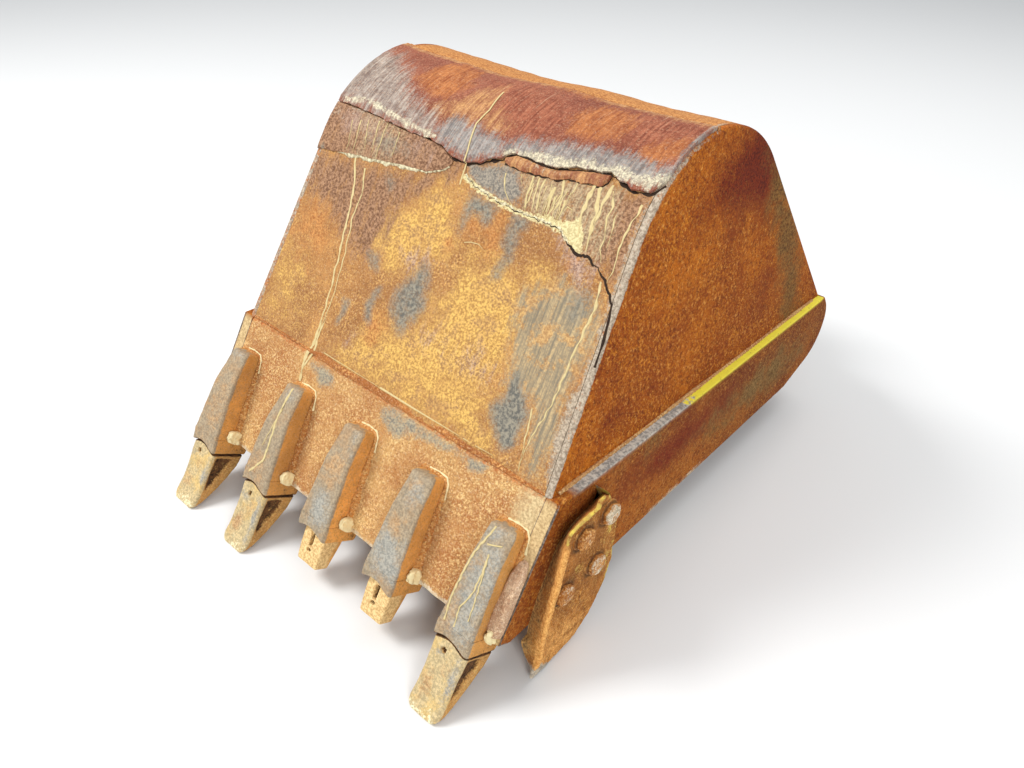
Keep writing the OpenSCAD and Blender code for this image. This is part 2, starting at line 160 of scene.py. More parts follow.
def inside(u, v, outline, soft=8.0):
    """1 inside a closed outline and 0 outside it, with a soft edge: an even-odd count of
    crossings gives the side, and the distance to the outline the softness."""
    pts = np.asarray(outline, float)
    odd = np.zeros(np.broadcast(u, v).shape, bool)
    for a, b in zip(pts, np.roll(pts, -1, 0)):
        if a[1] != b[1]:
            cross = (a[1] > v) != (b[1] > v)
            odd ^= cross & (u < (b[0] - a[0]) * (v - a[1]) / (b[1] - a[1]) + a[0])
    d = near(u, v, np.concatenate([pts, pts[:1]]))
    return step(-soft, soft, np.where(odd, d, -d))


def blots(u, v, table):
    """Soft oval marks: rows of u, v, half width, half length, lean in degrees, strength."""
    total = np.zeros(np.broadcast(u, v).shape)
    for cu, cv, w, l, lean, strength in table:
        a = math.radians(lean)
        p = (u - cu) * math.cos(a) + (v - cv) * math.sin(a)
        q = (v - cv) * math.cos(a) - (u - cu) * math.sin(a)
        total = np.maximum(total, strength * np.exp(-((p / w) ** 2 + (q / l) ** 2)))
    return total


def rounded(line, count):
    """Points spaced evenly along a line, or along a table's columns."""
    line = np.asarray(line, float)
    d = np.concatenate([[0], np.cumsum(np.hypot(*np.diff(line[:, :2], axis=0).T))])
    t = np.linspace(0, d[-1], count)
    return np.stack([np.interp(t, d, c) for c in line.T], -1)


def quads(rows, cols, closed=False):
    """Faces of a grid of points, row by row; closed joins the last column to the first."""
    i, j = np.meshgrid(np.arange(rows - 1), np.arange(cols if closed else cols - 1), indexing="ij")
    k = (j + 1) % cols
    low, high = i * cols, (i + 1) * cols
    return np.stack([low + j, low + k, high + k, high + j], -1).reshape(-1, 4)


def add_mesh(name, points, faces, material, slot, nodes=(), uv=None, marks=None, smooth=40):
    """One piece from its points in mm and its faces, with its pattern map and its marks; edges
    sharper than the angle smooth, in degrees, stay sharp."""
    pts = np.asarray(points, float).reshape(-1, 3) * METRES
    pts -= (CENTRE_X * METRES, CENTRE_Y * METRES, 0)
    mesh = bpy.data.meshes.new(name)
    mesh.from_pydata(pts.tolist(), [], faces.tolist() if hasattr(faces, "tolist") else faces)
    mesh.update()
    if uv is not None:
        loops = np.empty(len(mesh.loops), int)
        mesh.loops.foreach_get("vertex_index", loops)
        layer = mesh.uv_layers.new(name="sheet")
        layer.data.foreach_set("uv", (np.asarray(uv).reshape(-1, 2)[loops] * METRES).ravel())
    for key, values in (marks or {}).items():
        layer = mesh.attributes.new(key, "FLOAT", "POINT")
        layer.data.foreach_set("value", np.asarray(values, float).ravel())
    mesh.polygons.foreach_set("use_smooth", np.ones(len(mesh.polygons), bool))
    mesh.set_sharp_from_angle(angle=math.radians(smooth))
    obj = bpy.data.objects.new(name, mesh)
    bpy.context.scene.collection.objects.link(obj)
    mesh.materials.append(bpy.data.materials[material])
    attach(obj, "root")
    if nodes:
        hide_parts(*nodes)


def volume(pts, faces):
    """Six times the volume that faces of three or four corners close, less than 0 if they look inwards."""
    p = pts[faces]
    total = np.einsum("ij,ij->", p[:, 0], np.cross(p[:, 1], p[:, 2]))
    if p.shape[1] == 4:
        total += np.einsum("ij,ij->", p[:, 0], np.cross(p[:, 2], p[:, 3]))
    return total


def plate(outer, inner):
    """Closed plate between two grids of the same shape: both faces and the four rims."""
    r, c = outer.shape[:2]
    n = r * c
    top = quads(r, c)
    rows, cols = np.arange(r), np.arange(c)
    ring = np.concatenate([cols, rows[1:] * c + c - 1, (r - 1) * c + cols[::-1][1:], rows[::-1][1:-1] * c])
    nxt = np.roll(ring, -1)
    rim = np.stack([ring, ring + n, nxt + n, nxt], -1)
    faces = np.concatenate([top, top[:, ::-1] + n, rim])
    pts = np.concatenate([outer.reshape(-1, 3), inner.reshape(-1, 3)])
    return pts, faces if volume(pts - pts[0], faces) > 0 else faces[:, ::-1]


def add_plate(name, outer, inner, material, slot, nodes, marks, sheet=None, smooth=40, under=1.0,
              shift=0):
    """A plate between two grids as one piece. Its inner face has the outer one's pattern map, moved
    by shift, and the share under of its marks."""
    both = {key: np.concatenate([mark.ravel(), under * mark.ravel()]) for key, mark in marks.items()}
    uv = None
    if sheet:
        grid = np.stack(sheet, -1).reshape(-1, 2)
        uv = np.concatenate([grid, grid + shift])
    add_mesh(name, *plate(outer, inner), material, slot, nodes, uv, both, smooth)


def add_loft(name, rings, material, slot, nodes, marks, sheet, smooth=40):
    """A closed skin through rings as one piece; the middles of its two ends have no marks."""
    uv = np.concatenate([np.stack(sheet, -1).reshape(-1, 2), np.zeros((2, 2))])
    marks = {key: np.concatenate([mark.ravel(), [0, 0]]) for key, mark in marks.items()}
    add_mesh(name, *loft(rings), material, slot, nodes, uv, marks, smooth)


def ruled(start, end, shares):
    """Rows straight from one line to another, with points at these shares, and each row's width."""
    grid = start[:, None] + shares[None, :, None] * (end - start)[:, None]
    return grid, np.linalg.norm(end - start, axis=1)[:, None]


def upright(x, grid):
    """Points at x across over a grid of y and z."""
    return np.concatenate([x[..., None], grid], -1)


def loft(rings):
    """Closed skin through rings of points, with a fan to the middle of each end ring."""
    r, c = rings.shape[:2]
    pts = np.concatenate([rings.reshape(-1, 3), rings[:1].mean(1), rings[-1:].mean(1)])
    j = np.arange(c)
    k = (j + 1) % c
    fans = np.concatenate([np.stack([np.full(c, r * c), k, j], -1),
                           np.stack([np.full(c, r * c + 1), (r - 1) * c + j, (r - 1) * c + k], -1)])
    skin = quads(r, c, True)
    if volume(pts - pts[0], skin) + volume(pts - pts[0], fans) < 0:
        skin, fans = skin[:, ::-1], fans[:, ::-1]
    return pts, [tuple(f) for f in skin.tolist() + fans.tolist()]


def block_rings(table, corner):
    """Rings of rectangles with round corners: rows of along, half width, low, high, draft. Points
    run evenly round each ring; those near a corner are drawn in to its radius. The draft narrows
    a ring towards its high side."""
    t = np.asarray(table, float)
    edge = np.array([0.92, 0.96, 0.985])
    side = np.concatenate([[-1], -edge[::-1], np.linspace(-0.85, 0.85, 19), edge])
    u = np.concatenate([side, np.ones(len(side)), -side, -np.ones(len(side))])
    v = np.concatenate([-np.ones(len(side)), side, np.ones(len(side)), -side])
    half, tall = t[:, 1:2], (t[:, 3:4] - t[:, 2:3]) / 2
    x, o = half * u, tall * v
    r = np.minimum(corner, np.minimum(half, tall) * 0.9)
    qx, qo = np.clip(x, r - half, half - r), np.clip(o, r - tall, tall - r)
    d = np.hypot(x - qx, o - qo) + 1e-9
    x, o = qx + r * (x - qx) / d, qo + r * (o - qo) / d
    x = x * (1 - t[:, 4:5] * (o / tall * 0.5 + 0.5))
    return x, np.repeat(t[:, :1], len(u), 1), o + (t[:, 2:3] + t[:, 3:4]) / 2


def fine(table, gap):
    """A table's rows with more between them, so that no two are further apart than gap."""
    t = np.asarray(table, float)
    out = [t[:1]]
    for a, b in zip(t[:-1], t[1:]):
        n = max(1, int(math.ceil(abs(b[0] - a[0]) / gap)))
        out.append(a + (b - a) * (np.arange(1, n + 1) / n)[:, None])
    return np.concatenate(out)


def tube(path, radius, sides, lift):
    """Closed bead along a path: a circle of the given radius carried along it, square to it; lift
    is the direction in which its first corner is turned."""
    p = np.asarray(path, float)
    d = np.gradient(p, axis=0)
    d /= np.linalg.norm(d, axis=1, keepdims=True) + 1e-12
    up = np.zeros_like(p) + lift
    side = np.cross(d, up)
    side /= np.linalg.norm(side, axis=1, keepdims=True) + 1e-12
    up = np.cross(side, d)
    a = np.linspace(0, math.tau, sides, endpoint=False)
    r = np.broadcast_to(radius, (len(p),))[:, None, None]
    rings = p[:, None] + r * (np.cos(a)[:, None] * side[:, None] + np.sin(a)[:, None] * up[:, None])
    return loft(rings)


def ribbon(line, wide, out, high, place=on_shell):
    """Low rounded ribbon on the shell, or on the lip's plane: half an oval, wide by high, carried
    along the line."""
    d = np.gradient(line, axis=0)
    d /= np.linalg.norm(d, axis=1, keepdims=True) + 1e-9
    a = np.linspace(0, math.tau, 10, endpoint=False)
    u = line[:, None, 0] + wide[:, None] * np.cos(a) * d[:, None, 1]
    v = line[:, None, 1] - wide[:, None] * np.cos(a) * d[:, None, 0]
    h = out[:, None] + high * np.sin(a) + 0.15
    return loft(place(u, v, h))


def joined(parts):
    """Several point and face lists as one."""
    pts, faces, n = [], [], 0
    for p, f in parts:
        pts.append(p)
        faces += [tuple(i + n for i in row) for row in (f.tolist() if hasattr(f, "tolist") else f)]
        n += len(p)
    return np.concatenate(pts), faces


class Finish:
    """Builds one material: sockets are made left to right, and constants stay on the shader."""

    def __init__(self, name):
        """An empty material of this name, in place of any older one."""
        old = bpy.data.materials.get(name)
        if old:
            bpy.data.materials.remove(old)
        self.mat = bpy.data.materials.new(name)
        self.mat.use_nodes = True
        self.tree = self.mat.node_tree
        self.shader = self.tree.nodes["Principled BSDF"]
        self.place = self.tree.nodes.new("ShaderNodeTexCoord").outputs["Object"]

    def put(self, socket, value):
        """Links a socket to another, or sets it to a colour or a number."""
        if isinstance(value, bpy.types.NodeSocket):
            self.tree.links.new(value, socket)
        else:
            socket.default_value = value + (1,) if isinstance(value, tuple) else value

    def node(self, kind, inputs=(), **values):
        """A node of this kind, with its inputs put and its own values set."""
        n = self.tree.nodes.new("ShaderNode" + kind)
        for key, value in values.items():
            setattr(n, key, value)
        for key, value in inputs:
            self.put(n.inputs[key], value)
        return n

    def sheet(self):
        """The piece's own pattern map, in metres across and along."""
        return self.node("UVMap", uv_map="sheet").outputs[0]

    def scaled(self, place, scale, turn=0.0):
        """A place stretched along its axes and turned in its plane."""
        n = self.node("Mapping", [("Vector", place)])
        n.inputs["Scale"].default_value = scale
        n.inputs["Rotation"].default_value = (0, 0, turn)
        return n.outputs[0]

    def noise(self, scale, detail=5.0, rough=0.6, place=None, warp=0.0):
        """Layered noise of about 0 to 1."""
        return self.node("TexNoise", [("Vector", place or self.place), ("Scale", scale), ("Detail", detail),
                                      ("Roughness", rough), ("Distortion", warp)]).outputs["Fac"]

    def mark(self, name):
        """A mark that the mesh carries, 0 to 1."""
        return self.node("Attribute", attribute_name=name).outputs["Fac"]

    def rise(self, value, low, high, to=1.0):
        """Straight rise from 0 at low to the value to at high."""
        return self.node("MapRange", [("Value", value), ("From Min", low), ("From Max", high),
                                      ("To Max", to)]).outputs[0]

    def math(self, kind, a, b):
        """Sum, difference or product of two values."""
        return self.node("Math", [(0, a), (1, b)], operation=kind).outputs[0]

    def mix(self, amount, a, b):
        """Colour a, turning to b with the amount."""
        return self.node("Mix", [("Factor", amount), (6, a), (7, b)], data_type="RGBA").outputs[2]

    def blend(self, amount, a, b):
        """Number a, turning to b with the amount."""
        return self.node("Mix", [("Factor", amount), (2, a), (3, b)]).outputs[0]

    def done(self, colour, rough, height=None, depth=0.001):
        """Puts colour, roughness and relief on the shader; depth is the relief in metres."""
        self.put(self.shader.inputs["Base Color"], colour)
        self.put(self.shader.inputs["Roughness"], rough)
        self.shader.inputs["Specular IOR Level"].default_value = 0.22
        if height is not None:
            bump = self.node("Bump", [("Distance", depth), ("Strength", 1.0), ("Height", height)])
            self.tree.links.new(bump.outputs[0], self.shader.inputs["Normal"])


def tone(c):
    """A colour property, 0 to 1, as screen colour, 0 to 255."""
    return [255 * v for v in c]


def linear(c):
    """Screen colour, 0 to 255, as the linear colour that a socket takes."""
    c = np.asarray(c, float) / 255
    return tuple(float(v) for v in np.where(c <= 0.04045, c / 12.92, ((c + 0.055) / 1.055) ** 2.4))


def rust(f, base, bright, deep, speck=1.0, drift=5.5, light=0.5):
    """Rust in layers: broad drifts between two tones, a light speckle on them, then dark grains
    and pale ones. Returns the colour, the roughness and the height."""
    broad = f.noise(drift, 4, 0.62, warp=0.6)
    mottle = f.noise(44, 5, 0.7)
    flecks = f.noise(205, 4, 0.8)
    grains = f.noise(262, 4, 0.8)
    pale = f.noise(330, 3, 0.8)
    patchy = f.rise(f.noise(15, 5, 0.72), 0.3, 0.6)
    colour = f.mix(f.rise(broad, 0.36, 0.64), linear(deep), linear(base))
    colour = f.mix(f.rise(mottle, 0.48, 0.66, 0.75), colour, linear(deep))
    spots = f.math("MULTIPLY", f.rise(flecks, 0.49, 0.6, 0.95 * speck), patchy)
    colour = f.mix(spots, colour, linear(bright))
    colour = f.mix(f.rise(grains, 0.53, 0.62, 0.62 * speck), colour, linear([v * 0.66 for v in deep]))
    colour = f.mix(f.rise(pale, 0.57, 0.64, light * speck), colour, linear([v * 0.62 + 92 for v in bright]))
    height = f.math("ADD", f.math("MULTIPLY", flecks, 0.7), f.math("MULTIPLY", grains, 0.3))
    return colour, 0.9, height


def grained(f, state, dark, light, amount, size=1.0):
    """Dark and light grains over every zone, so that each keeps the steel's coarse speckle."""
    state = over(f, state, f.rise(f.noise(188 * size, 4, 0.8), 0.52, 0.62, amount), linear(dark), 0.9)
    return over(f, state, f.rise(f.noise(236 * size, 4, 0.8), 0.55, 0.64, amount * 0.8), linear(light), 0.8)


def over(f, state, amount, colour, rough):
    """Lays another finish over a state of colour, roughness and height."""
    below, dull, height = state
    return f.mix(amount, below, colour), f.blend(amount, dull, rough), height


def broken(f, mask, scale, soft, place=None, fray=2.2):
    """A mask whose edge is eaten away by noise, broad shapes first and single grains last."""
    n = f.noise(scale, 7, 0.72, place)
    g = f.noise(300, 2, 0.7)
    n = f.math("MULTIPLY", f.math("SUBTRACT", n, 0.5), fray)
    g = f.math("MULTIPLY", f.math("SUBTRACT", g, 0.5), 1.1)
    eaten = f.rise(f.math("ADD", f.math("ADD", mask, n), g), 0.5 - soft, 0.5 + soft)
    return f.math("MULTIPLY", eaten, f.rise(mask, 0.02, 0.2))


def flecked(f, low, high, scale):
    """Two tones mixed grain by grain."""
    return f.mix(f.rise(f.noise(scale, 4, 0.75), 0.42, 0.58), linear(low), linear(high))


def coats(f, state, rows):
    """Lays coats one over another: rows of a mark, the scale and softness of its broken edge, two
    tones, their grain and a roughness, and perhaps the edge's place and fray."""
    for name, scale, soft, low, high, grain, rough, *edge in rows:
        where = broken(f, f.mark(name), scale, soft, *edge)
        state = over(f, state, where, flecked(f, low, high, grain), rough)
    return state


def make_floor_finish(c):
    """Floor: gold, orange, brown and violet rust, rain streaks, bare places and dried mud."""
    f = Finish("floor_rust")
    state = rust(f, tone(c.front_base), tone(c.front_gold), tone(c.front_deep))
    runs = f.scaled(f.sheet(), (52, 12, 1))
    thin = f.scaled(f.sheet(), (150, 8, 1))
    warm = flecked(f, (166, 122, 68), (228, 184, 102), 210)
    dull = flecked(f, (136, 104, 78), (200, 154, 94), 210)
    gold = f.mix(f.rise(f.noise(30, 5, 0.7), 0.5, 0.62, 0.7), warm, dull)
    state = over(f, state, broken(f, f.mark("gold"), 22, 0.3), gold, 0.9)
    state = coats(f, state, [
        ("orange", 26, 0.3, (156, 96, 50), (206, 146, 84), 210, 0.85),
        ("brown", 1, 0.26, (108, 74, 52), (172, 132, 100), 200, 0.8, runs),
        ("violet", 1, 0.26, (124, 96, 84), (192, 160, 138), 210, 0.75, runs)])
    grey = f.mix(f.rise(f.noise(1, 6, 0.7, thin), 0.4, 0.6), linear((126, 116, 98)),
                 flecked(f, (160, 140, 108), (200, 172, 126), 210))
    brown = flecked(f, (168, 120, 70), (214, 170, 106), 210)
    grey = f.mix(f.rise(f.noise(26, 6, 0.74), 0.52, 0.6, 0.75), grey, brown)
    state = over(f, state, broken(f, f.mark("streak"), 1, 0.3, runs), grey, 0.7)
    state = coats(f, state, [
        ("wash", 1, 0.3, (150, 130, 102), (196, 176, 138), 200, 0.9, thin),
        ("dark", 34, 0.5, (96, 94, 88), (150, 142, 124), 150, 0.72),
        ("slate", 30, 0.3, (106, 100, 92), (160, 148, 130), 220, 0.6),
        ("bare", 30, 0.2, (140, 124, 106), (192, 174, 150), 200, 0.6),
        ("mud", 90, 0.1, (190, 172, 124), (226, 212, 160), 200, 0.95)])
    f.done(*state, depth=0.0012)


def make_heel_finish(c):
    """Heel plate: long runs in four tones, fine hairs and scratches in them, and dusty mud."""
    f = Finish("heel_rust")
    state = rust(f, tone(c.heel_base), (196, 128, 90), (116, 58, 44), speck=0.5)
    runs = f.scaled(f.sheet(), (58, 8, 1), 0.1)
    thin = f.scaled(f.sheet(), (190, 9, 1), 0.1)
    hair = f.math("ADD", f.math("MULTIPLY", f.noise(1, 6, 0.72, thin), 0.6),
                  f.math("MULTIPLY", f.noise(50, 6, 0.76), 0.4))
    hair = f.rise(hair, 0.42, 0.58)
    for name, soft, low, high, rough, place in (
            ("dark", 0.3, (116, 58, 42), (170, 104, 76), 0.9, runs),
            ("gold", 0.3, (138, 82, 54), (204, 154, 100), 0.8, runs),
            ("orange", 0.26, (138, 72, 38), (190, 122, 70), 0.75, runs),
            ("violet", 0.26, (112, 94, 84), (180, 166, 152), 0.55, runs),
            ("bare", 0.24, (104, 98, 94), (164, 156, 148), 0.5, f.scaled(f.sheet(), (90, 14, 1), 0.1))):
        where = broken(f, f.mark(name), 1, soft, place)
        state = over(f, state, where, f.mix(hair, linear(low), linear(high)), rough)
    scratch = f.rise(f.noise(1.0, 3, 0.6, f.scaled(f.sheet(), (260, 5, 1), 0.1)), 0.66, 0.72, 0.5)
    state = over(f, state, scratch, linear((206, 170, 138)), 0.6)
    state = grained(f, state, (92, 48, 30), (216, 176, 140), 0.45)
    dusty = f.scaled(f.sheet(), (110, 26, 1))
    state = coats(f, state, [("mud", 1, 0.2, (160, 150, 132), (222, 210, 178), 200, 0.95, dusty, 2.4)])
    f.done(*state, depth=0.001)


def make_side_finish(c):
    """Side plates: coarse orange rust with dark, dusty and bare places."""
    f = Finish("side_rust")
    state = rust(f, tone(c.side_base), (206, 128, 30), (130, 54, 6), speck=1.0, drift=3.4, light=0.12)
    state = grained(f, state, (96, 38, 4), (228, 160, 74), 0.8, 0.55)
    state = coats(f, state, [
        ("dark", 5, 0.34, (76, 18, 2), (124, 42, 6), 220, 0.85),
        ("dust", 12, 0.3, (84, 54, 22), (140, 100, 50), 180, 0.9),
        ("bare", 40, 0.2, (138, 122, 104), (192, 176, 154), 180, 0.6)])
    f.done(*state, depth=0.0009)


def make_bar_finish(c):
    """Side bars: rust as on the side plates, with yellow paint left along the upper edge."""
    f = Finish("bar_rust")
    state = rust(f, (164, 88, 22), (188, 122, 40), (106, 40, 4), speck=1.0, drift=3.4, light=0.2)
    state = grained(f, state, (84, 34, 4), (212, 154, 78), 0.7, 0.55)
    state = coats(f, state, [
        ("dark", 5, 0.34, (88, 24, 2), (128, 44, 8), 260, 0.85),
        ("dust", 16, 0.3, (90, 62, 28), (146, 112, 62), 180, 0.9),
        ("bare", 34, 0.2, (166, 150, 124), (214, 200, 170), 110, 0.6)])
    grey = flecked(f, (134, 130, 124), (198, 190, 176), 110)
    eaten = f.math("MULTIPLY", f.math("SUBTRACT", f.noise(60, 6, 0.7), 0.5), 1.6)
    worn = f.math("ADD", f.mark("worn"), eaten)
    yellow = f.mix(f.noise(40, 5, 0.7), linear(tone(c.paint)), linear([v * 0.84 for v in tone(c.paint)]))
    yellow = f.mix(f.rise(f.noise(180, 4, 0.7), 0.62, 0.66), yellow, linear((116, 92, 40)))
    state = over(f, state, f.mark("rim"), f.mix(f.rise(worn, 0.44, 0.56), yellow, grey), 0.55)
    state = over(f, state, f.mark("lip"), flecked(f, (176, 146, 102), (214, 186, 136), 200), 0.8)
    state = coats(f, state, [("edge", 60, 0.3, (76, 66, 60), (128, 114, 100), 200, 0.6)])
    f.done(*state, depth=0.001)


def make_cast_finish(name, top, side, bright, zones):
    """Adapters and tooth points: cast steel, worn bare on top in long streaks, with warm and blue
    zones; zones says how much of the bare top turns bright."""
    f = Finish(name)
    state = rust(f, side, bright, [v * 0.78 for v in side], speck=0.8)
    long = f.scaled(f.sheet(), (95, 10, 1))
    worn = flecked(f, [v * 0.88 for v in top], [min(255, v * 1.1) for v in top], 200)
    worn = f.mix(f.rise(f.noise(1.0, 6, 0.7, long), 0.5, 0.66, 0.55), worn, linear([v * 0.8 for v in top]))
    shine = flecked(f, [v * 0.9 for v in bright], bright, 200)
    worn = f.mix(f.rise(f.noise(17, 6, 0.74), 0.5, 0.6, zones), worn, shine)
    state = over(f, state, broken(f, f.mark("bare"), 1, 0.22, long, 1.6), worn, 0.62)
    warm = f.mix(f.mark("nose"), flecked(f, (160, 122, 84), (202, 164, 118), 200),
                 flecked(f, (196, 156, 100), (240, 208, 148), 200))
    state = over(f, state, broken(f, f.mark("warm"), 34, 0.3), warm, 0.75)
    state = coats(f, state, [
        ("blue", 30, 0.3, (136, 134, 126), (174, 168, 154), 200, 0.55),
        # The dark coat is painted shade in the pin slots, pin holes, side pockets and the joint between
        # adapter and point; on the adapters it also darkens the lowest part near the lip's edge.
        ("dark", 60, 0.2, (48, 32, 20), (104, 70, 40), 120, 0.9),
        ("mud", 70, 0.15, (222, 206, 156), (250, 240, 200), 150, 0.95)])
    f.done(*state, depth=0.0009)


def make_cutter_finish():
    """Side cutter: light rust with rests of yellow paint and bare edges, with painted shadow round the bolts
    and painted shade along the base of the crest's bead.
    """
    f = Finish("cutter_rust")
    state = rust(f, (186, 118, 50), (216, 160, 84), (120, 68, 26), speck=1.0, light=0.3)
    state = coats(f, state, [("orange", 40, 0.25, (198, 130, 62), (238, 182, 104), 220, 0.8)])
    yellow = f.mix(f.rise(f.noise(60), 0.4, 0.6), linear((222, 196, 84)), linear((186, 152, 78)))
    state = over(f, state, broken(f, f.mark("paint"), 34, 0.1), yellow, 0.6)
    state = coats(f, state, [
        ("bare", 40, 0.2, (140, 132, 120), (198, 184, 160), 110, 0.55),
        ("slope", 26, 0.3, (112, 84, 52), (194, 150, 88), 180, 0.8)])
    # The dark mark's colour: painted shadow round the bolts and painted shade along the base of the crest's
    # bead.
    state = over(f, state, f.mark("dark"), flecked(f, (56, 38, 22), (104, 70, 36), 160), 0.9)
    f.done(*state, depth=0.0014)


def make_plain_finishes():
    """The rust of the smaller pieces, then mud, weld and pin, and the dark that is painted shade in the
    crack, under the torn edges and in the empty bolt holes.
    """
    for name, base, bright, deep in (
            ("lip_rust", (200, 156, 98), (238, 204, 140), (168, 110, 62)),
            ("weld_rust", (198, 130, 66), (226, 176, 112), (136, 78, 40)),
            ("toe_rust", (206, 144, 78), (240, 196, 124), (164, 102, 50)),
            ("pad_rust", (204, 174, 144), (236, 206, 168), (176, 136, 104)),
            ("seam_rust", (184, 116, 58), (228, 172, 102), (146, 84, 42)),
            ("ear_rust", (150, 96, 50), (198, 150, 80), (98, 52, 26)),
            ("bolt_rust", (214, 140, 62), (244, 190, 112), (140, 78, 30)),
            ("inside_rust", (142, 84, 48), (182, 122, 72), (92, 48, 26))):
        f = Finish(name)
        state = rust(f, base, bright, deep)
        if name == "lip_rust":
            state = coats(f, state, [
                ("pale", 14, 0.4, (180, 154, 112), (222, 198, 150), 200, 0.8),
                ("dark", 30, 0.3, (122, 116, 104), (176, 162, 134), 200, 0.75),
                ("bare", 40, 0.2, (186, 168, 140), (222, 206, 176), 110, 0.55),
                ("brown", 90, 0.25, (156, 84, 40), (204, 128, 72), 150, 0.85)])
        if name == "bolt_rust":
            # On the bolts the bare coat is worn metal with a painted highlight on the heads' tops, and the
            # dark mark is painted shade round the base of each head and on one side of it.
            state = coats(f, state, [("bare", 60, 0.2, (160, 140, 112), (226, 212, 184), 150, 0.5)])
            state = over(f, state, f.mark("dark"), flecked(f, (44, 30, 22), (88, 56, 34), 120), 0.9)
        f.done(*state, depth=0.0012)
    for name, scale, detail, roughness, low, high, dull, depth in (
            ("dried_mud", 160, 5, 0.6, (184, 162, 108), (226, 208, 158), 0.95, 0.0006),
            ("pale_weld", 120, 6, 0.7, (214, 192, 138), (250, 238, 192), 0.7, 0.001),
            ("pin_dark", 140, 6, 0.7, (46, 36, 30), (96, 70, 48), 0.8, 0.001)):
        f = Finish(name)
        grain = f.noise(scale, detail, roughness)
        f.done(f.mix(grain, linear(low), linear(high)), dull, grain, depth)
    f = Finish("cream_weld")
    grain = f.noise(150, 5, 0.7)
    colour = f.mix(f.rise(grain, 0.4, 0.6), linear((150, 134, 104)), linear((232, 222, 184)))
    f.done(colour, 0.8, grain, 0.0015)
    # Painted shade: near black that stands for the shade in the open crack, under the torn edges and in the
    # empty bolt holes.
    f = Finish("crack_dark")
    f.done(f.mix(f.noise(90), linear((26, 20, 16)), linear((66, 48, 36))), 0.95)


# Torn lower edge of the heel plate, and the patch's lower edge: x, distance up the floor
TEAR = [
    (-400, 768), (-315, 766), (-255, 763), (-179, 756), (-118, 755), (-64, 750), (-45, 743), (-33, 737),
    (0, 738), (28, 747), (48, 757), (70, 764), (76, 774), (97, 783), (123, 782), (156, 779), (186, 780),
    (226, 790), (255, 797), (291, 801), (317, 793), (343, 786), (376, 792), (388, 812), (400, 836)]
FLAP_LOW = [(79, 760), (125, 757), (183, 761), (200, 762), (219, 770), (236, 770), (283, 775), (291, 786)]
FLAP_HIGH = [(79, 771), (97, 779), (123, 778), (156, 775), (186, 776), (226, 786), (255, 793), (291, 797)]
PATCH_LOW = [
    (-412, 662), (-334, 671), (-287, 678), (-232, 683), (-157, 692), (-84, 697), (-48, 711), (-33, 725)]
# Crack across the floor below the torn edge, first pale, then open: x, s
CRACK = [
    (-2, 738), (7, 715), (29, 706), (68, 697), (100, 692), (138, 689), (171, 688), (216, 688), (244, 686),
    (272, 668), (297, 657), (314, 663), (330, 655), (346, 647), (369, 632), (384, 613), (392, 606),
    (397, 586), (404, 546), (408, 500)]
# Mud that has dried in a lump over the crack: x, s
MUD_LUMP = [
    (170, 698), (215, 702), (234, 700), (254, 703), (274, 717), (293, 691), (302, 659), (290, 658),
    (267, 672), (249, 684)]


def arc_s(along):
    """Distance up the flat floor as arc length, where the heel has begun to curve away."""
    t = np.clip((np.asarray(along, float) - S_HEEL) / HEEL_R, 0, 1)
    return np.where(np.asarray(along) > S_HEEL, S_HEEL + HEEL_R * np.arcsin(t), along)


def tear_s(x):
    """The torn edge over x, read from its table, as arc length."""
    t = np.asarray(TEAR, float)
    return arc_s(np.interp(x, t[:, 0], t[:, 1]))


def heel_s(angle):
    """Arc length where the heel's outward direction has turned to an angle in degrees."""
    return S_HEEL + HEEL_R * math.radians(90 + math.degrees(FLOOR_A) - angle)


def dent(x, s, c):
    """How far the shell has sunk: a broad dent over the heel, small knocks and a long ripple."""
    broad = blots(x, s, [(-120, 1010, 210, 120, 8, 1.0), (-250, 960, 90, 90, 0, 0.7),
                         (170, 1000, 150, 110, 0, 0.55)])
    knocks = blots(x, s, [(150, 620, 60, 90, 10, 0.35), (-190, 430, 50, 110, 0, 0.25),
                          (290, 380, 60, 120, 6, 0.3)])
    edge = step(0, 60, half_width(side_path(s)[1], SIDE_THICK) - np.abs(x))
    ripple = 1.3 * (waves(x, s, 240, 3) + 0.4 * waves(x, s, 70, 4))
    return -(MM * c.dent_depth * broad + 8 * knocks + ripple) * edge


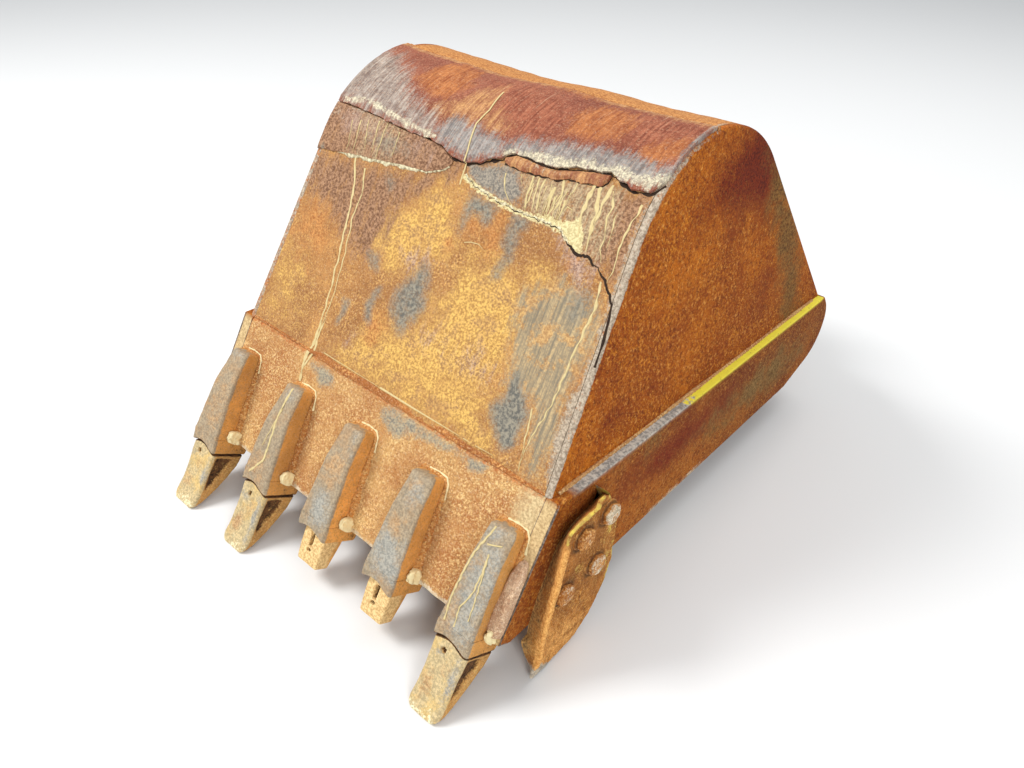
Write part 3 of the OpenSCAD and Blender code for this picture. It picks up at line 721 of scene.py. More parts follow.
# Marks on the floor as outlines of x and s, each with its softness and strength
FLOOR_MARKS = {
    "gold": [
        (26, .8, [(-33, 690), (2, 694), (64, 577), (24, 535), (-92, 494), (-154, 532), (-128, 587),
            (-97, 620)]),
        (26, .8, [(-86, 411), (-49, 419), (-15, 401), (-19, 376), (-37, 348), (-90, 325), (-100, 360)]),
        (34, .85, [(40, 552), (164, 609), (206, 595), (265, 616), (290, 598), (265, 546), (254, 499),
            (230, 401), (252, 359), (246, 334), (284, 285), (9, 288), (-171, 292), (-67, 380), (52, 449),
            (60, 517)]),
        (30, .45, [(-400, 470), (-300, 440), (-250, 360), (-310, 270), (-415, 290)])],
    "orange": [
        (12, .8, [(10, 592), (31, 601), (41, 588), (21, 576)]),
        (22, .7, [(55, 631), (131, 676), (147, 643), (139, 601), (88, 613)]),
        (8, .8, [(283, 653), (313, 663), (302, 640), (288, 628)]),
        (8, .8, [(384, 450), (389, 508), (398, 480), (397, 456)]),
        (20, .7, [(-100, 420), (-60, 420), (-40, 380), (-70, 350), (-96, 370)]),
        (30, .5, [(-393, 555), (-300, 600), (-244, 563), (-233, 475), (-300, 420), (-400, 470)])],
    "brown": [
        (24, .8, [(-430, 655), (-335, 667), (-167, 677), (-92, 690), (-40, 720), (-50, 679), (-90, 645),
            (-132, 609), (-121, 572), (-153, 538), (-159, 501), (-195, 488), (-229, 501), (-268, 540),
            (-320, 552), (-430, 580)]),
        (14, .8, [(87, 756), (205, 768), (279, 780), (338, 785), (400, 790), (390, 731), (380, 640),
            (343, 654), (301, 661), (247, 690), (195, 687), (149, 696), (108, 720)]),
        (10, .6, [(-60, 760), (-60, 690), (0, 690), (10, 740)])],
    "violet": [
        (16, .8, [(230, 687), (270, 673), (303, 657), (329, 650), (340, 616), (344, 555), (333, 545),
            (315, 593), (288, 635)]),
        (24, .5, [(31, 424), (51, 409), (108, 397), (80, 440)]),
        (24, .5, [(130, 410), (160, 381), (227, 395), (220, 430), (153, 445)]),
        (20, .6, [(-70, 540), (-20, 560), (10, 540), (-30, 500)]),
        (20, .4, [(-150, 330), (-110, 350), (-100, 320), (-140, 300)])],
    "dark": [
        (9, .75, [(-183, 664), (-164, 663), (-154, 645), (-166, 640)]),
        (7, .85, [(-164, 511), (-133, 516), (-120, 508), (-120, 484), (-137, 484), (-152, 497)]),
        (7, .9, [(-106, 448), (-93, 456), (-90, 442), (-99, 427), (-92, 406), (-89, 383), (-104, 389),
            (-116, 412), (-112, 428)]),
        (6, .85, [(-181, 402), (-163, 403), (-157, 390), (-162, 376), (-168, 350), (-175, 351), (-174, 369)]),
        (12, 1., [(-7, 536), (4, 528), (17, 496), (22, 464), (16, 439), (4, 408), (-10, 397), (-31, 415),
            (-50, 437), (-49, 466), (-34, 498), (-17, 518)]),
        (10, .9, [(33, 688), (76, 688), (108, 680), (101, 661), (92, 649), (71, 660), (56, 661), (49, 636),
            (43, 617), (38, 621), (38, 651)]),
        (10, .85, [(138, 689), (171, 688), (176, 670), (169, 656), (172, 635), (175, 616), (166, 604),
            (160, 572), (148, 564), (148, 578), (150, 606), (142, 631), (141, 660)]),
        (10, .7, [(312, 586), (331, 613), (349, 603), (347, 580), (338, 553), (322, 560)]),
        (10, 1.3, [(276, 435), (283, 413), (311, 400), (321, 387), (319, 357), (321, 318), (303, 306),
            (280, 320), (257, 339), (253, 361), (268, 386), (265, 413)])],
    "streak": [
        (22, 1., [(225, 560), (290, 610), (350, 600), (384, 580), (388, 520), (386, 300), (372, 290),
            (350, 330), (330, 400), (262, 410), (236, 480)])],
    "slate": [
        (9, .95, [(5, 735), (67, 756), (87, 760), (117, 750), (137, 726), (143, 708), (129, 694), (99, 697),
            (68, 700), (42, 706), (17, 716)])],
    "bare": [
        (8, .95, [(376, 800), (380, 740), (384, 671), (388, 627), (396, 563), (396, 480), (390, 423),
            (392, 368), (404, 311), (424, 285), (470, 290), (470, 800)])]}
# Marks on the heel plate in the same way
HEEL_MARKS = {
    "orange": [
        (14, .95, [(-255, 867), (-233, 916), (-189, 974), (-138, 952), (-112, 891), (-132, 849), (-170, 841),
            (-213, 855)]),
        (14, .9, [(144, 894), (172, 944), (243, 949), (264, 903), (260, 862), (215, 845), (179, 846),
            (158, 859)]),
        (14, .9, [(310, 860), (347, 907), (384, 914), (380, 873), (362, 836), (331, 836)]),
        (14, .7, [(60, 962), (150, 956), (170, 990), (40, 1000)])],
    "gold": [
        (18, .75, [(-165, 817), (-105, 850), (-63, 901), (-40, 922), (-13, 858), (-27, 825), (-37, 802),
            (-89, 787), (-129, 801)]),
        (14, .7, [(-51, 845), (7, 850), (50, 829), (44, 802), (-11, 804)]),
        (10, .55, [(-290, 985), (-100, 1000), (57, 962), (390, 960), (390, 974), (60, 982), (-100, 1020),
            (-290, 1010)])],
    "dark": [
        (20, .85, [(-93, 933), (-29, 956), (87, 927), (132, 917), (139, 860), (121, 826), (90, 810),
            (43, 820), (-13, 858)]),
        (16, .9, [(246, 945), (317, 955), (380, 952), (343, 889), (310, 860), (264, 864)])],
    "violet": [
        (26, .95, [(-430, 775), (-430, 900), (-351, 928), (-282, 886), (-220, 837), (-160, 811), (-95, 790),
            (-59, 754), (-137, 758), (-237, 765), (-328, 768)])],
    "bare": [
        (14, .9, [(-101, 775), (-76, 816), (4, 802), (58, 800), (95, 812), (147, 822), (206, 832), (255, 842),
            (318, 846), (364, 840), (395, 860), (400, 800), (384, 806), (284, 790), (190, 778), (73, 766),
            (3, 740), (-59, 750)])]}
# Two dusty bands along the torn edge, the right one and the left one
CREAM = [(78, 776), (147, 789), (191, 789), (244, 798), (284, 806), (323, 803), (363, 804), (388, 822)]
WHITE = [(-365, 775), (-298, 786), (-207, 773), (-141, 766), (-86, 761)]
# Grey marks on the lip plate in the same way, up the floor from its edge
LIP_MARKS = [
    (9, .85, [(15, 250), (66, 262), (160, 262), (208, 262), (245, 251), (192, 247), (147, 238), (99, 230),
        (65, 215), (33, 224)]),
    (9, .8, [(-199, 250), (-171, 258), (-127, 255), (-126, 228), (-160, 221), (-174, 236)]),
    (7, .8, [(236, 260), (290, 262), (284, 244), (257, 238)])]


def fill(x, s, rows):
    """The strongest of several soft outlines at each point."""
    return np.maximum.reduce([strength * inside(x, s, outline, 1.8 * soft)
                              for soft, strength, outline in rows])


def shell_marks(x, s):
    """Where the floor's finish changes, as named masks over x and s."""
    w = half_width(side_path(s)[1], SIDE_THICK)
    masks = {name: fill(x, s, rows) for name, rows in FLOOR_MARKS.items()}
    edge = step(12, 2, w - x) * step(1150, 900, s) * step(330, 400, s)
    masks["bare"] = np.maximum(masks["bare"], 0.6 * edge)
    masks["mud"] = np.maximum(0.8 * step(9, 3, near(x, s, CRACK[1:9])), 0.9 * inside(x, s, MUD_LUMP, 6))
    right = [(110, 770), (160, 696), (250, 686), (325, 656), (345, 700), (325, 790), (200, 785)]
    left = [(-330, 745), (-300, 680), (-180, 690), (-170, 750)]
    masks["wash"] = np.maximum(0.55 * inside(x, s, right, 34), 0.5 * inside(x, s, left, 16))
    masks["orange"] = np.maximum(masks["orange"], 0.9 * step(900, 940, s) * step(1300, 1150, s))
    return masks


def heel_marks(x, s):
    """Where the heel plate's finish changes, in the same way."""
    masks = {name: fill(x, s, rows) for name, rows in HEEL_MARKS.items()}
    edge = step(12, 2, half_width(side_path(s)[1], HEEL_INSET) - x)
    masks["bare"] = np.maximum(masks["bare"], 0.6 * edge)
    thick = np.clip(0.5 + 0.5 * waves(x, 0 * s, 60, 240), 0.1, 1)
    masks["mud"] = np.maximum(0.68 * step(12 + 16 * thick, 2, near(x, s, CREAM)),
                              0.6 * step(4 + 16 * thick, 2, near(x, s, WHITE)))
    masks["gold"] = np.maximum(masks["gold"], 0.7 * step(955, 968, s) * step(1000, 985, s))
    return masks


class BucketSizes(bpy.types.PropertyGroup):
    """Sizes and colours that a user would change."""
    dent_depth: FloatProperty(name="Heel dent", description="Depth of the broad dent over the heel",
        default=0.011, min=0.0, max=0.03, precision=4, unit="LENGTH")
    heel_thick: FloatProperty(name="Heel plate", description="Thickness of the heel plate",
        default=0.008, min=0.004, max=0.012, precision=4, unit="LENGTH")
    tear_curl: FloatProperty(name="Curl", description="How far the torn edge stands off the floor",
        default=0.0065, min=0.0, max=0.012, precision=4, unit="LENGTH")
    weld_size: FloatProperty(name="Weld bead", description="Radius of a weld bead",
        default=0.006, min=0.002, max=0.012, precision=4, unit="LENGTH")
    pitting: FloatProperty(name="Unevenness", description="Unevenness of cast faces",
        default=0.0007, min=0.0, max=0.003, precision=4, unit="LENGTH")
    front_base: FloatVectorProperty(name="Floor rust", description="Main rust of the floor",
        default=(0.7137, 0.5098, 0.2980), min=0, max=1, size=3, subtype="COLOR_GAMMA")
    front_gold: FloatVectorProperty(name="Floor gold", description="Gold speckle of the floor",
        default=(0.8549, 0.6667, 0.3922), min=0, max=1, size=3, subtype="COLOR_GAMMA")
    front_deep: FloatVectorProperty(name="Floor brown", description="Deep brown of the floor",
        default=(0.5725, 0.3843, 0.2275), min=0, max=1, size=3, subtype="COLOR_GAMMA")
    heel_base: FloatVectorProperty(name="Heel rust", description="Main rust of the heel plate",
        default=(0.5961, 0.3529, 0.2667), min=0, max=1, size=3, subtype="COLOR_GAMMA")
    side_base: FloatVectorProperty(name="Side rust", description="Main rust of the sides",
        default=(0.7294, 0.3922, 0.0549), min=0, max=1, size=3, subtype="COLOR_GAMMA")
    paint: FloatVectorProperty(name="Paint", description="Yellow paint that is left",
        default=(0.9843, 0.9137, 0.2588), min=0, max=1, size=3, subtype="COLOR_GAMMA")


class BUCKET_OT_finishes(bpy.types.Operator):
    """Makes the rust, paint, weld and mud finishes"""
    bl_idname = "bucket.finishes"
    bl_label = "Finishes"

    def execute(self, context):
        """One function makes each finish, layer by layer."""
        c = context.scene.bucket
        make_floor_finish(c)
        make_heel_finish(c)
        make_side_finish(c)
        make_bar_finish(c)
        make_cast_finish("adapter_worn", (160, 142, 116), (236, 168, 86), (184, 138, 88), 0.35)
        make_cast_finish("tooth_worn", (196, 174, 130), (206, 150, 84), (226, 188, 112), 0.6)
        make_cutter_finish()
        make_plain_finishes()
        return {"FINISHED"}


class BUCKET_OT_wrapper(bpy.types.Operator):
    """Dents the wrapper and gives it its marks"""
    bl_idname = "bucket.wrapper"
    bl_label = "Wrapper"

    def execute(self, context):
        """A grid over x and s, moved along the outline's normal by the dents; the inner face lies one
        thickness further in."""
        c = context.scene.bucket
        s = np.concatenate([np.arange(LIP_LENGTH, 830, 5.0), np.linspace(832, S_END - 6.6, 90)])
        even = np.linspace(-1, 1, 171)
        s, u = np.meshgrid(s, 0.75 * even + 0.25 * np.sin(even * math.pi / 2), indexing="ij")
        x = u * half_width(side_path(s)[1], SIDE_THICK)
        d = dent(x, s, c)
        add_plate("wrapper_dented", on_shell(x, s, d), on_shell(x, s, d - WRAPPER_THICK), "floor_rust",
                  "floor_steel", ["wrapper"], shell_marks(x, s), (x, s), under=0, shift=31)
        return {"FINISHED"}


class BUCKET_OT_heel_plate(bpy.types.Operator):
    """Makes the heel plate with its torn, curled edge, and the patch below it"""
    bl_idname = "bucket.heel_plate"
    bl_label = "Heel plate and patch"

    def execute(self, context):
        """A grid from the torn edge up over the heel. It stands off the shell by its thickness and by a
        curl that dies away with the distance from the tear."""
        c = context.scene.bucket
        u = np.linspace(-1, 1, 241)
        v = np.concatenate([np.linspace(0, 0.14, 12), np.linspace(0.16, 1, 46)])[:, None]
        top = heel_s(91.5)
        x = u * 392
        low = tear_s(x) + 2.2 * waves(x, 0, 26, 11) + 1.2 * waves(x, 0, 9, 12)
        s = low + v * (top - low)
        x = u * half_width(side_path(s)[1], HEEL_INSET)
        d = dent(x, s, c)
        off = s - low
        curl = MM * c.tear_curl * np.exp(-off / 16) * (0.6 + 0.8 * waves(x, 0 * x, 120, 13))
        thick = MM * c.heel_thick * (0.55 + 0.45 * step(0, 14, off)) * (0.8 + 0.2 * step(0, 12, top - s))
        rim = 0.4 * waves(x, s, 30, 14)
        add_plate("heel_plate_torn", on_shell(x, s, d + thick + curl + rim),
                  on_shell(x, s, d + np.maximum(curl, 0) - 0.2), "heel_rust", "heel_steel", ["heel_plate"],
                  heel_marks(x, s), (x, s), smooth=50)
        self.flap(c)
        self.patch(c)
        return {"FINISHED"}

    def patch(self, c):
        """The thin patch below the heel plate's left half, and the weld along its lower edge."""
        t = np.asarray(PATCH_LOW, float)
        line = np.linspace(-404, PATCH_RIGHT, 120)
        low = arc_s(np.interp(line, t[:, 0], t[:, 1]) + 1.0 * waves(line, 0, 14, 21))
        high = tear_s(line) - 1
        high[-12:] = np.interp(line[-12:], [line[-12], PATCH_RIGHT], [high[-12], 732])
        s = low + np.linspace(0, 1, 22)[:, None] * (high - low)
        x = np.maximum(np.repeat(line[None, :], 22, 0), -half_width(side_path(s)[1], 3))
        d = dent(x, s, c)
        off = s - s[:1]
        side = np.minimum(np.minimum(off, 12), np.minimum(step(0, 14, PATCH_RIGHT - x) * 12, 12))
        marks = {"brown": 1.0 + 0 * x,
                 "wash": 0.36 * step(-350, -280, x) * step(-130, -200, x),
                 "violet": 0.7 * blots(x, s, [(-300, 740, 80, 30, 0, 1), (-120, 730, 50, 30, 0, .6)]),
                 "bare": 0.3 * step(40, 90, off),
                 "dark": blots(x, s, [(-400, 662, 7, 8, 0, 1), (-384, 668, 5, 6, 0, .9),
                                      (-200, 720, 60, 20, 0, .5)])}
        thick = d + 3.2 + 1.6 * step(0, 8, side) + 0.3 * waves(x, s, 24, 22)
        add_plate("floor_patch_worn", on_shell(x, s, thick), on_shell(x, s, d - 0.2), "floor_rust",
                  "heel_steel", ["floor_patch"], marks, (x, s))
        x = np.linspace(-336, -36, 400)
        s = arc_s(np.interp(x, t[:, 0], t[:, 1])) - 1.0
        dots = np.where(x < -108, 1.0, 0.25 + 0.75 * np.abs(np.sin(x / 3.2)))
        wide = 5.4 + 2.2 * waves(x, 0, 26, 24) + 1.0 * waves(x, 0, 7, 25)
        wide = wide * dots * (0.45 + 0.55 * (x < -108))
        wide = np.maximum(wide, 0.6) * step(-336, -300, x)
        bead = ribbon(np.stack([x, s], -1), np.maximum(wide, 0.4), dent(x, s, c), 2.6)
        add_mesh("patch_weld", *bead, "cream_weld", "heel_steel", smooth=60)

    def flap(self, c):
        """The loose lower lobe that has split off under the torn edge."""
        line = np.linspace(79, 291, 150)
        low, high = (np.interp(line, *np.array(edge, float).T) for edge in (FLAP_LOW, FLAP_HIGH))
        low = arc_s(low + 1.6 * waves(line, 0, 22, 26) + 0.9 * waves(line, 0, 8, 27))
        v = np.linspace(0, 1, 16)[:, None]
        s = low + v * (arc_s(high) - low)
        x = np.repeat(line[None, :], 16, 0)
        edge = step(0, 0.3, np.minimum(v, 1 - v))
        d = dent(x, s, c)
        marks = {"dark": 0.9 * (1 - edge) + 0 * x,
                 "gold": 0.55 + 0.45 * blots(x, s, [(105, 770, 34, 14, 0, 1), (180, 770, 20, 10, 0, .6)]),
                 "mud": 0.3 * blots(x, s, [(160, 772, 60, 10, 0, 1)])}
        add_plate("heel_flap", on_shell(x, s, d + 3.0 + 3.4 * edge + 0.8 * waves(x, s, 26, 28)),
                  on_shell(x, s, d - 0.2), "heel_rust", "heel_steel", (), marks, (x, s))


# Section of the lip plate, corners cut small: along, out
LIP_SECTION = [
    (0, -10), (0, -3), (1, -1), (3, 0), (60, 0), (130, 0), (200, 0), (255, 0), (262, -1.5), (268, -3),
    (271, -4), (271, -28), (269, -30), (160, -30), (44, -30), (36, -28), (2, -13)]


class BUCKET_OT_lip(bpy.types.Operator):
    """Makes the lip plate: its rounded section carried across the bucket"""
    bl_idname = "bucket.lip"
    bl_label = "Lip plate"

    def execute(self, context):
        """The section is carried straight across, and its front edge is worn back by waves."""
        sec = rounded(np.array(LIP_SECTION + LIP_SECTION[:1], float), 190)[:-1]
        x, a = np.meshgrid(np.linspace(-BAR_IN, BAR_IN, 241), sec[:, 0], indexing="ij")
        o = np.broadcast_to(sec[:, 1], x.shape)
        worn = 2.2 * step(30, 0, a) * (0.4 + 0.6 * waves(x, 0 * x, 60, 31)) * (o > -20)
        a = a + np.abs(worn) * 0.8
        o = o - 0.3 * (1 + waves(x, a, 40, 32)) * (o > -2)
        top = o > -6
        marks = {"dark": fill(x, a, LIP_MARKS) * top, "bare": 0.6 * step(16, 2, a) * top,
                 "brown": 0.5 * step(258, 266, a) * top, "pale": top * 0.8 * step(350, 410, x)}
        add_loft("lip_plate_worn", on_floor(x, a, o), "lip_rust", "lip_steel", ["lip_plate"], marks, (x, a))
        return {"FINISHED"}


def edge_round(t, width, radius):
    """How far a face falls back near an edge: a quarter circle over the last bit of the width."""
    d = np.clip(t * width / radius, 0, 1)
    return radius * (1 - np.sqrt(1 - (1 - d) ** 2))


def strip_line(k):
    """Upper edge of a side bar, from its front end to its rear end."""
    front = np.array([LIP_LENGTH * math.cos(FLOOR_A), LIP_Z + LIP_LENGTH * math.sin(FLOOR_A)])
    rear = np.array([CORNER[0] + CORNER_R / 2, BAR_REAR_Z])
    return front + np.asarray(k)[..., None] * (rear - front)


class BUCKET_OT_sides(bpy.types.Operator):
    """Makes both side plates and side bars, with rounded edges"""
    bl_idname = "bucket.sides"
    bl_label = "Side plates and bars"

    def execute(self, context):
        """Straight rows from the outline to the bar's upper edge, bent by slow waves and rounded at the
        rim."""
        hit = self.meet()
        t = np.concatenate([[0, 0.0015, 0.004, 0.008, 0.014], np.linspace(0.03, 1, 40)])
        s = np.linspace(LIP_LENGTH, hit[0], 330)
        rim = np.stack(side_path(s)[:2], -1)
        grid, width = ruled(rim, strip_line(np.linspace(0, hit[1], len(s))), t)
        y, z = grid[..., 0], grid[..., 1]
        far = t * width
        bend = 2.0 * waves(y, z, 420, 41) + 0.5 * waves(y, z, 110, 42)
        bend *= step(0, 40, far)
        fall = edge_round(t, width, 5.0)
        dark = blots(y, z, [(755, 745, 185, 125, 0, 1.0), (620, 700, 120, 80, 0, .5),
                            (330, 420, 60, 60, 0, .4), (880, 420, 60, 140, 20, .5)])
        dust = blots(y, z, [(930, 560, 50, 200, 28, .85), (1010, 380, 60, 120, 28, .8)])
        for side, name, shine in ((-1, "left", 0.62), (1, "right", 0.9)):
            outer = upright((half_width(z) - fall + bend) * side, grid)
            inner = upright((half_width(z, SIDE_THICK) + 0.4 * fall + bend) * side, grid)
            bare = shine * step(9, 2, far) * step(1100, 700, s)[:, None]
            marks = {"dark": dark, "dust": dust, "bare": bare}
            add_plate("side_plate_worn_" + name, outer, inner, "side_rust", "side_steel",
                      ["side_plate_" + name], marks)
            self.bar(side, name, hit)
        return {"FINISHED"}

    def meet(self):
        """Where the bar's line leaves the outline at the back: arc length and share of the line."""
        k = np.linspace(0.8, 1, 4001)
        p = strip_line(k)
        s = np.linspace(S_BACK, S_CORNER + 60, 4001)
        y, z = side_path(s)[:2]
        i = int(np.argmax(z < np.interp(y, p[:, 0], p[:, 1])))
        return s[i], float(np.interp(y[i], p[:, 0], k))

    def bar(self, side, name, hit):
        """One side bar: ruled between its upper edge and the mouth's edge."""
        turn = CORNER_RISE - math.pi / 2
        end = CORNER + CORNER_R * np.array([math.cos(turn), math.sin(turn)])
        front = np.stack(side_path(np.linspace(LIP_LENGTH, 0, 24))[:2], -1)
        lip_in = on_floor(0, 0.0, -LIP_THICK)[1:]
        rise = [end[0] - (end[1] - MOUTH_Z) / math.tan(CORNER_RISE), MOUTH_Z]
        rear = np.stack(side_path(np.linspace(S_END, hit[0], 40))[:2], -1)
        low = rounded(np.concatenate([front, [lip_in], [rise], rear]), 420)
        # more of the upper edge is spent over the mouth than over the two ends
        share = np.interp(np.linspace(0, 1, 420), [0, 0.14, 0.86, 1], [0.0, 0.02, 0.98, 1.0]) * hit[1]
        t = np.concatenate([[0, 0.004, 0.012, 0.024], np.linspace(0.05, 0.95, 26), [0.976, 0.988, 0.996, 1]])
        grid, width = ruled(strip_line(share), low, t)
        y, z = grid[..., 0], grid[..., 1]
        fall = np.minimum(edge_round(t, width, 3.0) + edge_round(1 - t, width, 5.0), 12)
        flat = 0.5 * waves(y, z, 160, 43) * step(0, 30, np.minimum(t, 1 - t) * width)
        edge = step(0.035, 0.0, t) + 0 * width
        edge[:, :2] = 1.0
        edge = edge * step(0.03, 0.06, share)[:, None]
        corner = step(150, 140, low[:, :1]) * step(105, 118, low[:, 1:])
        marks = {"rim": edge,
                 "worn": step(0.5, 0.3, share / hit[1])[:, None] + 0 * edge,
                 "bare": 0.8 * step(0.9, 1, t) * blots(y, z, [(560, 100, 120, 60, 0, 1)]),
                 "dark": blots(y, z, [(520, 250, 260, 60, 0, .8)]),
                 "dust": blots(y, z, [(900, 200, 240, 60, 0, .8), (420, 330, 120, 50, 0, .4)]),
                 "lip": corner * (t == 1),
                 "edge": corner * step(7, 4, (1 - t) * width) * (t < 1)}
        add_plate("side_bar_worn_" + name, upright((BAR_OUT - fall + flat) * side, grid),
                  upright((BAR_IN + 0.3 * fall) * side, grid), "bar_rust", "bar_steel", ["side_bar_" + name],
                  marks)


# The adapters that still have their tooth point
POINTED = (1, 2, 5)
# Joint line between an adapter and its point: x from the tooth's middle, distance up the floor
JOINT = np.array([(-41, -29), (-32, -26), (-23, -23), (-10, -20), (4, -21.5), (20, -27), (33, -31),
                  (41, -31.5)])


def shoulder(x):
    """The joint line over x, smoothed as the mean of three looks at its table."""
    return sum(np.interp(x + d, *JOINT.T) for d in (-4, 0, 4)) / 3


# Rings of an adapter's leg, body, nose and lower leg, and of the pad beside the fifth one: up the
# floor, half width, low, high, draft
LEG = [
    (199.3, 6, 12, 18, 0), (199, 23, 2, 30, .06), (197.4, 27.5, 0, 35, .08), (194, 30.4, -1, 38, .08),
    (190, 31, -2, 39, .08), (170, 32, -2, 42, .08), (126, 34.5, -2, 46, .07), (60, 38, -2, 48, .05),
    (2, 41, -2, 49, .03)]
BODY = [
    (0, 41, -45, 49, 0), (3, 41, -45.5, 49, 0), (28, 41, -42, 46, 0), (30.6, 40.4, -41, 45.4, 0),
    (31, 39, -39, 44, 0)]
NOSE = [
    (-16, 31, -25, 31, 0), (-60, 30, -16, 29.4, 0), (-90, 29, -9.6, 26.6, 0), (-97, 28.5, -8.4, 25.8, 0),
    (-99.4, 27.6, -7.4, 25, 0), (-100, 25.4, -5.2, 22.8, 0), (-100.2, 8, 4, 12, 0)]
UNDER = [
    (-2, 33, -52, -28, 0), (20, 33, -54, -29, 0), (86, 33, -54, -29, 0), (116, 31, -38, -29, 0),
    (120, 28, -35, -29, 0)]
PAD = [
    (158, 4, -3, 3, 0), (152, 9, -3, 8, 0), (130, 14, -3, 15, 0), (70, 16, -3, 19, 0), (26, 16, -3, 20, 0),
    (16, 14, -3, 17, 0), (12, 8, -2, 10, 0)]


